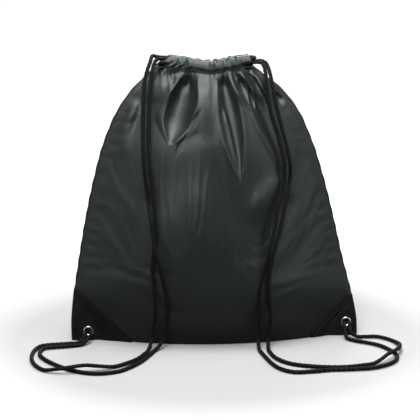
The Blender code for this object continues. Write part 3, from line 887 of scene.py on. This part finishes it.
def held_share(points):
    """How firmly the cloth is held at each point: mouth, base, corners and side seams."""
    z, away = points[:, 2], np.abs(points[:, 0])
    edge = np.where(points[:, 0] < 0, reach(LEFT, z), reach(RIGHT, z))

    def past(distance, fade):
        return smoothstep((distance - fade[0]) / fade[1])

    def within(distance, fade):
        return smoothstep((fade[0] - distance) / fade[1])

    corners = past(away, PIN_CORNER_ACROSS) * within(z, PIN_CORNER_HEIGHT)
    return np.maximum.reduce([past(z, PIN_TOP), within(z, PIN_BASE), corners, within(edge - away, PIN_EDGE)])


def build_body():
    points, faces, uvs = bag_mesh()
    faces = [face for face in faces if not over_eyelet(points[face].mean(axis=0))]
    obj = make_object("bag_body", points, faces, FABRIC, uvs)
    settle_cloth(obj, held_share(points))
    moved = coordinates(obj.data)
    moved[:, 2] = np.maximum(moved[:, 2], BASE_SAG)
    set_coordinates(obj.data, moved)
    solidify(obj, FABRIC_THICKNESS)
    smooth = obj.modifiers.new("Smooth", "SUBSURF")
    smooth.levels = smooth.render_levels = 1
    return apply_modifiers(obj)


# ---- Corner patches ----

PATCH_ROWS, PATCH_COLUMNS = 60, 56
PATCH_LIFT = 0.0007
PATCH_THICKNESS = 0.0008
PATCH_OVERHANG = 0.0006
PATCH_STITCH_INSET = 0.0032
# Folded edge, groove under the stitches, and crease beside them: distance in, height, half width.
PATCH_RIPPLES = (
    (0.0010, 0.00045, 0.0011),
    (PATCH_STITCH_INSET, -0.00035, 0.0007),
    (0.0095, -0.00045, 0.0010),
)
STITCH_LENGTH, STITCH_PITCH, STITCH_RADIUS = 0.0023, 0.0031, 0.00028


def slanted(side, z):
    """Distance from the middle of a patch's sewn edge at this height."""
    top = PATCH_TOP[side]
    return mix(PATCH_INNER[side], reach(side, top), np.clip(z / top, 0.0, 1.0))


def patch_surface(face, side, away, z, lift):
    """A point on a patch: the body's own surface, moved out by lift."""
    x = side * away
    edge = reach(side, z)
    inset = np.clip(edge + PATCH_OVERHANG - away, 0.0, None)
    inside = np.minimum(away, edge - 0.0004)
    depth = panel_depth(side * inside, z) + relief(face, side * inside, z)
    depth = np.minimum(depth, 0.0002 + 1.6 * np.sqrt(inset * 0.002) + inset)
    return np.stack([x, face * (depth + lift), z], axis=-1)


def build_patch(name, face, side):
    rows, top = [], PATCH_TOP[side] - 0.001
    uv = []
    heights = np.r_[np.zeros(6), np.linspace(0.0, top, PATCH_ROWS)]
    under = np.r_[np.linspace(0.0, 1.0, 6, endpoint=False), np.ones(PATCH_ROWS)]
    for height, share in zip(heights, under):
        inner, outer = float(slanted(side, height)), float(reach(side, height)) + PATCH_OVERHANG
        away = np.linspace(inner, max(outer, inner + 0.0015), PATCH_COLUMNS + 1)
        z = np.full_like(away, height)
        slope = away - inner
        ripples = sum(rise * np.exp(-(((slope - at) / half) ** 2)) for at, rise, half in PATCH_RIPPLES)
        buckle = 0.0006 * np.sin(away * 210 + height * 130 + side) * smoothstep((slope - 0.006) / 0.01)
        flat = np.hypot(side * away - EYELETS[side][0].x, height - EYELETS[side][0].z)
        buckle = buckle * smoothstep((flat - 0.008) / 0.008)
        point = patch_surface(face, side, away, z, PATCH_LIFT + ripples + buckle)
        point[:, 1] *= share
        point[:, 2] = np.maximum(point[:, 2], 0.0001)
        rows.append(point)
        uv.append(np.stack([away, np.full_like(away, height + share * 0.03)], axis=1))
    grid = np.array(rows)
    flat = grid.reshape(-1, 3)
    faces = grid_faces(np.arange(len(flat)).reshape(grid.shape[:2]), face * side != REAR)
    faces = [quad for quad in faces if not over_eyelet(flat[quad].mean(axis=0))]
    obj = make_object(name, flat, faces, PATCH, np.concatenate(uv))
    solidify(obj, PATCH_THICKNESS, offset=1.0)
    return apply_modifiers(obj)


def tube_faces(first, rings, around):
    """Faces of a closed tube through rings of points, numbered from first."""
    faces = []
    for ring in range(rings - 1):
        a, b = first + ring * around, first + (ring + 1) * around
        for turn in range(around):
            following = (turn + 1) % around
            faces.append([a + turn, a + following, b + following, b + turn])
    faces.append([first + turn for turn in range(around)][::-1])
    faces.append([first + (rings - 1) * around + turn for turn in range(around)])
    return faces


def dashes(name, path, face):
    """Separate stitches along a path, each a short thread that dips into the cloth at its ends."""
    lengths = path_lengths(path)
    points, faces = [], []
    around, along = 8, 7
    for start in np.arange(0.0, lengths[-1] - STITCH_LENGTH, STITCH_PITCH):
        first = len(points)
        for step in range(along):
            share = step / (along - 1)
            at = start + STITCH_LENGTH * share
            centre = np.array([np.interp(at, lengths, path[:, axis]) for axis in range(3)])
            ahead = np.array([np.interp(at + 1e-4, lengths, path[:, axis]) for axis in range(3)]) - centre
            ahead /= max(np.linalg.norm(ahead), 1e-12)
            aside = np.cross(ahead, (0.0, face, 0.0))
            aside /= np.linalg.norm(aside)
            up = np.cross(aside, ahead)
            bow = math.sin(math.pi * share)
            centre = centre + up * (STITCH_RADIUS * (1.2 * bow - 0.5))
            thick = STITCH_RADIUS * (0.35 + 0.65 * min(1.0, 3 * bow))
            for turn in range(around):
                angle = 2 * math.pi * turn / around
                points.append(centre + thick * (math.cos(angle) * aside + math.sin(angle) * up))
        faces += tube_faces(first, along, around)
    return make_object(name, points, faces, THREAD)


def build_patch_stitching(name, face, side):
    heights = np.linspace(0.004, PATCH_TOP[side] - 0.008, 60)
    away = np.array([float(slanted(side, z)) for z in heights]) + PATCH_STITCH_INSET
    lift = PATCH_LIFT + PATCH_THICKNESS - 0.0003
    return dashes(name, patch_surface(face, side, away, heights, lift), face)


def build_hem_stitching(face_name, face):
    low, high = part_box(f"{face_name}_hem_stitching")
    x = np.linspace(low.x - 0.004, high.x + 0.004, 240)
    z = np.full_like(x, BODY_TOP - 0.0008)
    out = panel_depth(x, z) + relief(face, x, z) + 0.0002
    return dashes(f"{face_name}_hem_stitches", np.stack([x, face * out, z - hem_dip(x, z)], axis=1), face)


# ---- Side seams ----

SEAM_HALF_WIDTH, SEAM_HALF_DEPTH = 0.0011, 0.0008
SEAM_WAVE_PITCH = 0.019
# UV width of one turn round a seam or a cord.
UV_TURN = 0.0157


def swept(name, centres, sections, finish):
    """A closed solid through rings of points: centres (n, 3) and per-ring offsets (n, m, 3)."""
    rings, around = sections.shape[:2]
    points = (centres[:, None, :] + sections).reshape(-1, 3)
    turns = np.linspace(0.0, UV_TURN, around, endpoint=False)
    uv = np.stack(np.broadcast_arrays(turns[None, :], path_lengths(centres)[:, None]), axis=2).reshape(-1, 2)
    return make_object(name, points, tube_faces(0, rings, around), finish, uv)


def build_side_seam(name, side):
    """The narrow ridge of the turned side seam, above the corner patches."""
    heights = np.arange(PATCH_TOP[side] - 0.004, BODY_TOP - 0.001, 0.0012)
    edge = np.array([float(reach(side, z)) for z in heights])
    stitched = heights * 2 * math.pi / STITCH_PITCH
    wave = 0.00025 * np.sin(stitched) + 0.0003 * np.sin(heights * 2 * math.pi / SEAM_WAVE_PITCH)
    centres = np.stack([side * (edge - 0.0002 + wave), 0 * edge, heights], axis=1)
    angles = np.linspace(0.0, 2 * math.pi, 12, endpoint=False)
    pinch = 1.0 - 0.12 * np.cos(stitched)
    ring = np.stack([np.cos(angles) * SEAM_HALF_WIDTH, np.sin(angles) * SEAM_HALF_DEPTH, 0 * angles], axis=1)
    return swept(name, centres, ring[None] * pinch[:, None, None], FABRIC)


# ---- Cords ----

CORD_AROUND, CORD_STEP = 24, 0.00055
BRAID_PITCH, BRAID_PLAITS, BRAID_DEPTH = 0.0058, 3, 0.30
# A strand narrows to this radius over this length before its eyelet.
SQUEEZED_RADIUS, SQUEEZE_END, SQUEEZE_LENGTH = 0.0019, 0.004, 0.010
# The sliding part starts inside its strap strand, and is thin inside the hem so that it clears the gathers.
SLIDE_START = 0.0045
CORD_EXIT_RADIUS, CORD_EXIT_LENGTH = 0.0021, 0.011
CORD_IN_HEM_RADIUS = 0.0010
# It ends this far from the hem's far end, which leaves room for the bight's tail when it slides.
CORD_HIDDEN_END = 0.016
LANES_CLOSER = 0.25
BIGHT_RADIUS, BIGHT_REACH = 0.0023, 0.0045
BIGHT_TAIL_RADIUS, BIGHT_TAIL = 0.0009, 0.010
# How much of a strand bends between bag and strap at its upper and its lower end.
STRAP_BLEND, TAIL_BLEND = 0.060, 0.025


def cad_centreline(node, start):
    """Centres of a CAD cord's rings, in order from the ring nearest start."""
    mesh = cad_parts[node].data
    merged, index_of, neighbours = [], {}, {}
    same = []
    for vertex in mesh.vertices:
        key = tuple(round(value, 6) for value in vertex.co)
        if key not in index_of:
            index_of[key] = len(merged)
            merged.append(np.array(vertex.co))
        same.append(index_of[key])
    for a, b in mesh.edge_keys:
        neighbours.setdefault(same[a], set()).add(same[b])
        neighbours.setdefault(same[b], set()).add(same[a])
    away = [np.linalg.norm(point - np.array(start)) for point in merged]
    layer = set(sorted(range(len(merged)), key=away.__getitem__)[:8])
    visited, centres = set(layer), []
    while layer:
        centres.append(np.mean([merged[i] for i in layer], axis=0))
        layer = {other for i in layer for other in neighbours[i]} - visited
        visited |= layer
    return np.array(centres)


def resample(points, step):
    """Evenly spaced points along a smooth curve through these."""
    points = np.asarray(points, float)
    lengths = path_lengths(points)
    slopes = np.gradient(points, lengths, axis=0)
    at = np.linspace(0.0, lengths[-1], max(int(lengths[-1] / step), 2) + 1)
    index = np.clip(np.searchsorted(lengths, at, side="right") - 1, 0, len(points) - 2)
    span = (lengths[index + 1] - lengths[index])[:, None]
    return cubic(points, slopes, index, span, (at - lengths[index])[:, None] / span)


def carried_frames(points):
    """Two directions across the path at each point, carried along it without twisting."""
    ahead = np.gradient(points, axis=0)
    ahead /= np.linalg.norm(ahead, axis=1, keepdims=True)
    aside = np.cross(ahead[0], (0.0, 0.0, 1.0))
    if np.linalg.norm(aside) < 1e-3:
        aside = np.cross(ahead[0], (1.0, 0.0, 0.0))
    first = []
    for direction in ahead:
        aside = aside - direction * (aside @ direction)
        aside = aside / np.linalg.norm(aside)
        first.append(aside)
    first = np.array(first)
    return first, np.cross(ahead, first)


def braided_sections(points, radius):
    """Rings of a braided cord: two families of plaits that pass over and under each other."""
    first, second = carried_frames(points)
    theta = np.linspace(0.0, 2 * math.pi, CORD_AROUND, endpoint=False)[None, :]
    phase = (2 * math.pi * path_lengths(points) / BRAID_PITCH)[:, None]
    right_hand = np.abs(np.cos((BRAID_PLAITS * theta + phase) / 2))
    left_hand = np.abs(np.cos((BRAID_PLAITS * theta - phase) / 2))
    over = 0.5 + 0.5 * np.tanh(3.0 * np.sin(BRAID_PLAITS * theta) * np.sin(phase))
    height = (over * right_hand + (1.0 - over) * left_hand) ** 0.8
    rings = np.broadcast_to(np.asarray(radius, float).reshape(-1, 1), (len(points), 1))
    out = (rings * (1.0 - BRAID_DEPTH + BRAID_DEPTH * height))[..., None]
    return out * (np.cos(theta)[..., None] * first[:, None] + np.sin(theta)[..., None] * second[:, None])


def build_cord_pieces(name, points, radius, cuts, labels):
    """One braided cord cut at these ring numbers into closed pieces that share their end rings."""
    sections = braided_sections(points, radius)
    bounds = [0, *cuts, len(points) - 1]
    pieces = []
    for label, low, high in zip(labels, bounds, bounds[1:]):
        pieces.append(swept(f"{name}_{label}", points[low : high + 1], sections[low : high + 1], CORD))
    return pieces


def hem_lane(face, x, z):
    """A cord inside the hem follows its sway and its dip."""
    x = np.asarray(x, float)
    inside = smoothstep((x - MOUTH_LOW.x + 0.002) / 0.008) * smoothstep((MOUTH_HIGH.x + 0.002 - x) / 0.008)
    up = (z - BODY_TOP) / (MOUTH_HIGH.z - BODY_TOP)
    y = face * (CHANNEL_Y + (hem_sway(face, x) + HEM_TILT * (0.5 - up)) * inside)
    z = mix(z, (BODY_TOP + MOUTH_HIGH.z) / 2, LANES_CLOSER * inside)
    return np.stack([x, y, z - hem_dip(x, np.full_like(x, BODY_TOP))], axis=1)


def build_strap(side_name, side):
    """Both strands of a shoulder strap."""
    strap = f"{side_name}_strap"
    ends = []
    for face_name, face in FACES.items():
        run_low, run_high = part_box(f"{side_name}_cord_{face_name}_run")
        exit_x = run_low.x if side == LEFT else run_high.x
        start = Vector((exit_x + side * 0.0012, face * CHANNEL_Y, (run_low.z + run_high.z) / 2))
        node = f"{side_name}_strap_{face_name}_strand"
        line = cad_centreline(node, start)
        line = np.concatenate([[[exit_x, start.y, start.z]], line])
        points = resample(line, CORD_STEP)
        ends.append(points[-1])
        crossing = 0
        if face == FRONT:
            crossing = int(np.argmax(points[:, 1] < -0.006))
        upper = crossing + int(STRAP_BLEND / CORD_STEP)
        tail = len(points) - 1 - int(TAIL_BLEND / CORD_STEP)
        cuts, labels = [upper, tail], ["upper", "main", "tail"]
        if face == FRONT:
            cuts, labels = [crossing, *cuts], ["exit", *labels]
        left_over = CORD_STEP * np.arange(len(points))[::-1]
        radius = mix(SQUEEZED_RADIUS, CORD_RADIUS, smoothstep((left_over - SQUEEZE_END) / SQUEEZE_LENGTH))
        pieces = dict(zip(labels, build_cord_pieces(node, points, radius, cuts, labels)))
        if face == FRONT:
            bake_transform(pieces["exit"])
        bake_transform(pieces["upper"])
        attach(pieces["main"], strap)
        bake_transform(pieces["tail"])
        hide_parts(node)
    return ends


def build_runs(side_name, side):
    """The cord inside both channels, and its bight round the far end of the mouth."""
    rear_low, rear_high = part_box(f"{side_name}_cord_rear_run")
    lane = (rear_low.z + rear_high.z) / 2
    far = MOUTH_HIGH.x if side == LEFT else MOUTH_LOW.x
    near = rear_low.x if side == LEFT else rear_high.x
    for face_name, face in FACES.items():
        body = f"{side_name}_cord" if face == REAR else f"{side_name}_cord_front"
        x = np.linspace(near + side * SLIDE_START, far + side * CORD_HIDDEN_END, 140)
        points = resample(hem_lane(face, x, np.full_like(x, lane)), CORD_STEP)
        outside = np.abs(points[:, 0] - near) < CORD_EXIT_LENGTH
        radius = np.where(outside, CORD_EXIT_RADIUS, CORD_IN_HEM_RADIUS)
        radius = np.convolve(np.pad(radius, 6, mode="edge"), np.ones(13) / 13, mode="valid")
        cord = f"{side_name}_cord_{face_name}"
        piece = swept(f"{cord}_channel", points, braided_sections(points, radius), CORD)
        stand_for(piece, "cord", f"{cord}_run", body=body)
    centre = far + side * 0.001
    angles = np.linspace(-math.pi / 2, math.pi / 2, 60)
    lead = centre + side * np.linspace(BIGHT_TAIL, 0.001, 14)
    rear, front = (hem_lane(face, lead, np.full_like(lead, lane)) for face in (REAR, FRONT))
    arc = mix(rear[-1], front[-1], 0.5 + 0.5 * np.sin(angles)[:, None])
    arc[:, 0] = centre - side * BIGHT_REACH * np.cos(angles)
    points = resample(np.concatenate([rear, arc, front[::-1]]), CORD_STEP)
    inward = side * (points[:, 0] - centre)
    radius = mix(BIGHT_RADIUS, BIGHT_TAIL_RADIUS, smoothstep((inward - 0.001) / 0.002))
    bight = swept(f"{side_name}_cord_bight", points, braided_sections(points, radius), CORD)
    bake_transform(bight)


def cord_radius():
    low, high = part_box("left_cord_front_run")
    return (high.z - low.z) / 2


CORD_RADIUS = cord_radius()


# ---- Eyelets and knots ----

KNOT_SIZE, KNOT_CORD_RADIUS = 0.00155, 0.0022

def turned_ring(name, profile, centre, finish, steps=72):
    """A ring turned about an axis along Y, from a closed outline of (radius, y)."""
    points, faces = [], []
    for step in range(steps):
        angle = 2 * math.pi * step / steps
        for radius, y in profile:
            points.append((centre.x + radius * math.cos(angle), y, centre.z + radius * math.sin(angle)))
    count = len(profile)
    for step in range(steps):
        for corner in range(count):
            a, b = step * count, (step + 1) % steps * count
            following = (corner + 1) % count
            faces.append([a + corner, b + corner, b + following, a + following])
    return make_object(name, points, faces, finish)


def curled(inner, outer, y, rise, steps):
    """Outline of a rounded edge, from its outer radius to its inner one."""
    angles = np.linspace(math.pi, 0.0, steps)
    return [(mix(inner, outer, 0.5 - 0.5 * math.cos(angle)), y + rise * math.sin(angle)) for angle in angles]


def build_eyelet(side_name, side):
    """A rolled flange on the strap side, its barrel, and the curled end over the washer at the back."""
    low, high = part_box(f"{side_name}_eyelet")
    centre, radius = EYELETS[side]
    bore, proud = radius * 0.57, low.y - 0.0016
    outline = []
    for angle in np.linspace(0.0, math.pi, 14):
        across = (bore + radius) / 2 - (radius - bore) / 2 * math.cos(angle)
        outline.append((across, mix(-0.0035, proud, math.sin(angle) ** 0.75)))
    barrel = bore + 0.0006
    outline += [(radius, -0.0030), (barrel, -0.0030), (barrel, high.y)]
    outline += curled(bore, radius * 0.84, high.y + 0.0014, 0.0007, 8) + [(bore, high.y)]
    ring = turned_ring(f"{side_name}_eyelet_ring", outline, centre, METAL)
    stand_for(ring, "eyelet_metal", f"{side_name}_eyelet", body="root")
    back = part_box(f"{side_name}_eyelet_washer")[1].y
    outline = curled(barrel, radius, back + 0.0009, 0.0005, 9) + [(barrel, back), (radius, back)]
    washer = turned_ring(f"{side_name}_washer_ring", outline, centre, METAL)
    stand_for(washer, "eyelet_metal", f"{side_name}_eyelet_washer", body="root")


def join(name, pieces):
    """Joins pieces into the first one."""
    target = pieces[0]
    with bpy.context.temp_override(active_object=target, selected_editable_objects=pieces):
        bpy.ops.object.join()
    target.name = name
    return target


def build_knot(side_name, side, ends):
    """The two cord ends squeezed through the eyelet, the knot that holds them, and the cut tails."""
    low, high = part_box(f"{side_name}_knot")
    centre, _ = EYELETS[side]
    middle_y = mix(low.y, high.y, 0.53)
    pieces = []
    for number, end in enumerate(sorted(ends, key=lambda at: at[0])):
        aside = 0.00185 * (1 if number else -1)
        path = [tuple(end - (0, 0.0008, 0)), tuple(end + (0, 0.001, 0))]
        path += [(centre.x + aside, y, centre.z) for y in (-0.0020, 0.0040)]
        path.append((centre.x + 0.5 * aside, middle_y, centre.z))
        points = resample(path, CORD_STEP)
        radius = mix(SQUEEZED_RADIUS, 0.00178, smoothstep((points[:, 1] - end[1] + 0.0005) / 0.004))
        pieces.append(swept(f"{side_name}_stem_{number}", points, braided_sections(points, radius), CORD))
        out, drop = (1 if number else -1) * 0.0042, 0.0030 + 0.0015 * number
        path = [
            (centre.x + 0.5 * aside, middle_y, centre.z),
            (centre.x + 0.6 * out, middle_y + 0.005, centre.z),
            (centre.x + out, high.y - 0.003, centre.z - 0.5 * drop),
            (centre.x + 1.2 * out, high.y, centre.z - drop),
        ]
        points = resample(path, CORD_STEP)
        share = np.linspace(0.0, 1.0, len(points))
        frayed = 1 + 0.12 * smoothstep((share - 0.8) / 0.1)
        radius = KNOT_CORD_RADIUS * frayed * np.sqrt(np.clip((1.02 - share) / 0.06, 0.2, 1.0))
        pieces.append(swept(f"{side_name}_tail_{number}", points, braided_sections(points, radius), CORD))
    turn = np.linspace(0.0, 2 * math.pi, 160)
    x = centre.x + KNOT_SIZE * (np.sin(turn) + 2 * np.sin(2 * turn))
    y = middle_y + 1.5 * KNOT_SIZE * -np.sin(3 * turn)
    z = centre.z + KNOT_SIZE * (np.cos(turn) - 2 * np.cos(2 * turn))
    points = resample(np.stack([x, y, z], axis=1), CORD_STEP)
    pieces.append(swept(f"{side_name}_loop", points, braided_sections(points, KNOT_CORD_RADIUS), CORD))
    knotted = join(f"{side_name}_knotted_ends", pieces)
    stand_for(knotted, "cord", f"{side_name}_knot", body="root")


# ---- Camera, light and floor ----

CAMERA_AZIMUTH = math.radians(-4.0)
CAMERA_ELEVATION = math.radians(12.0)
CAMERA_DISTANCE = 2.0
CAMERA_LENS_MM = 142.0
# Where the camera looks, from the centre of the object's box.
CAMERA_AIM = Vector((-0.004, 0.0, -0.015))


def add_camera():
    data = bpy.data.cameras.new("camera")
    data.lens = CAMERA_LENS_MM
    camera = bpy.data.objects.new("camera", data)
    bpy.context.scene.collection.objects.link(camera)
    flat, up = math.cos(CAMERA_ELEVATION), math.sin(CAMERA_ELEVATION)
    back = Vector((math.sin(CAMERA_AZIMUTH) * flat, -math.cos(CAMERA_AZIMUTH) * flat, up))
    middle = (CAD_LOW + CAD_HIGH) / 2
    target = Vector((middle.x, 0.0, middle.z)) + CAMERA_AIM
    camera.location = target + back * CAMERA_DISTANCE
    camera.rotation_euler = (-back).to_track_quat("-Z", "Y").to_euler()
    bpy.context.scene.camera = camera


def add_area_light(name, place, size, power):
    data = bpy.data.lights.new(name, "AREA")
    data.shape = "RECTANGLE"
    data.size, data.size_y = size
    data.energy = power
    light = bpy.data.objects.new(name, data)
    bpy.context.scene.collection.objects.link(light)
    light.location = place
    light.rotation_euler = (LIT_PLACE - Vector(place)).to_track_quat("-Z", "Y").to_euler()


WORLD_LIGHT = (0.08, 0.082, 0.084)
WORLD_SEEN = (1.1, 1.1, 1.1)
# The floor turns into plain white paper between these distances from the object.
PAPER_FROM, PAPER_TO = 0.24, 0.55
FLOOR_HALF, FLOOR_Z = 6.0, -0.0002
# Each softbox: place, size, watts. All face the middle of the bag.
LIGHTS = {
    "top_softbox": ((0.05, -0.20, 1.4), (1.3, 0.8), 21.0),
    "key_softbox": ((-0.25, -1.25, 1.55), (0.7, 0.5), 29.0),
    "left_softbox": ((-1.5, -0.5, 0.7), (0.4, 1.2), 3.0),
    "right_softbox": ((1.5, -0.6, 0.7), (0.5, 1.2), 5.0),
    "back_softbox": ((0.3, 1.5, 1.3), (1.0, 0.7), 20.0),
}
LIT_PLACE = Vector((0.0, 0.0, 0.15))


def add_world():
    world = bpy.data.worlds.new("studio")
    bpy.context.scene.world = world
    world.use_nodes = True
    tree = world.node_tree
    background = tree.nodes["Background"]
    background.inputs["Strength"].default_value = 1.0
    seen = tree.nodes.new("ShaderNodeLightPath")
    blend = tree.nodes.new("ShaderNodeMix")
    blend.data_type = "RGBA"
    blend.inputs[6].default_value = (*WORLD_LIGHT, 1.0)
    blend.inputs[7].default_value = (*WORLD_SEEN, 1.0)
    tree.links.new(seen.outputs["Is Camera Ray"], blend.inputs[0])
    tree.links.new(blend.outputs[2], background.inputs["Color"])


def add_floor():
    nodes = Nodes("pale_floor")
    seen = nodes.add("ShaderNodeLightPath").outputs["Is Camera Ray"]
    pale = nodes.mix_colors(seen, (0.10, 0.10, 0.10), (0.46, 0.46, 0.465))
    away = nodes.add("ShaderNodeVectorMath", operation="LENGTH")
    nodes.link(nodes.place(), away.inputs[0])
    past = nodes.math("SUBTRACT", away.outputs["Value"], PAPER_FROM)
    far = nodes.math("DIVIDE", past, PAPER_TO - PAPER_FROM, clamp=True)
    paper = nodes.finish(
        {
            "Base Color": pale,
            "Roughness": 0.9,
            "Specular IOR Level": 0.1,
            "Emission Color": (1.0, 1.0, 1.0, 1.0),
            "Emission Strength": nodes.math("MULTIPLY", far, seen),
        }
    )
    corners = ((-1, -1), (1, -1), (1, 1), (-1, 1))
    points = [(FLOOR_HALF * x, FLOOR_HALF * y, FLOOR_Z) for x, y in corners]
    make_object("floor", points, [(0, 1, 2, 3)], paper)


def build():
    sewn = ["rear_panel", "front_panel", "rear_hem_channel", "front_hem_channel", "bottom_seam"]
    stand_for(build_body(), "bag_fabric", *sewn)
    for face_name, face in FACES.items():
        body = "root" if face == REAR else "front_side"
        stand_for(build_hem_stitching(face_name, face), "thread", f"{face_name}_hem_stitching", body=body)
    for side_name, side in SIDES.items():
        stand_for(build_side_seam(f"{side_name}_seam_ridge", side), "bag_fabric", f"{side_name}_side_seam")
        for face_name, face in FACES.items():
            corner = f"{side_name}_{face_name}"
            stand_for(build_patch(f"{corner}_patch", face, side), "patch", f"{corner}_corner_patch")
            stitches = build_patch_stitching(f"{corner}_patch_stitches", face, side)
            stand_for(stitches, "thread", f"{corner}_patch_stitching")
        build_eyelet(side_name, side)
        build_runs(side_name, side)
        build_knot(side_name, side, build_strap(side_name, side))


build()
add_floor()
add_world()
for light_name, light in LIGHTS.items():
    add_area_light(light_name, *light)
add_camera()
bpy.context.scene.view_settings.view_transform = "Standard"
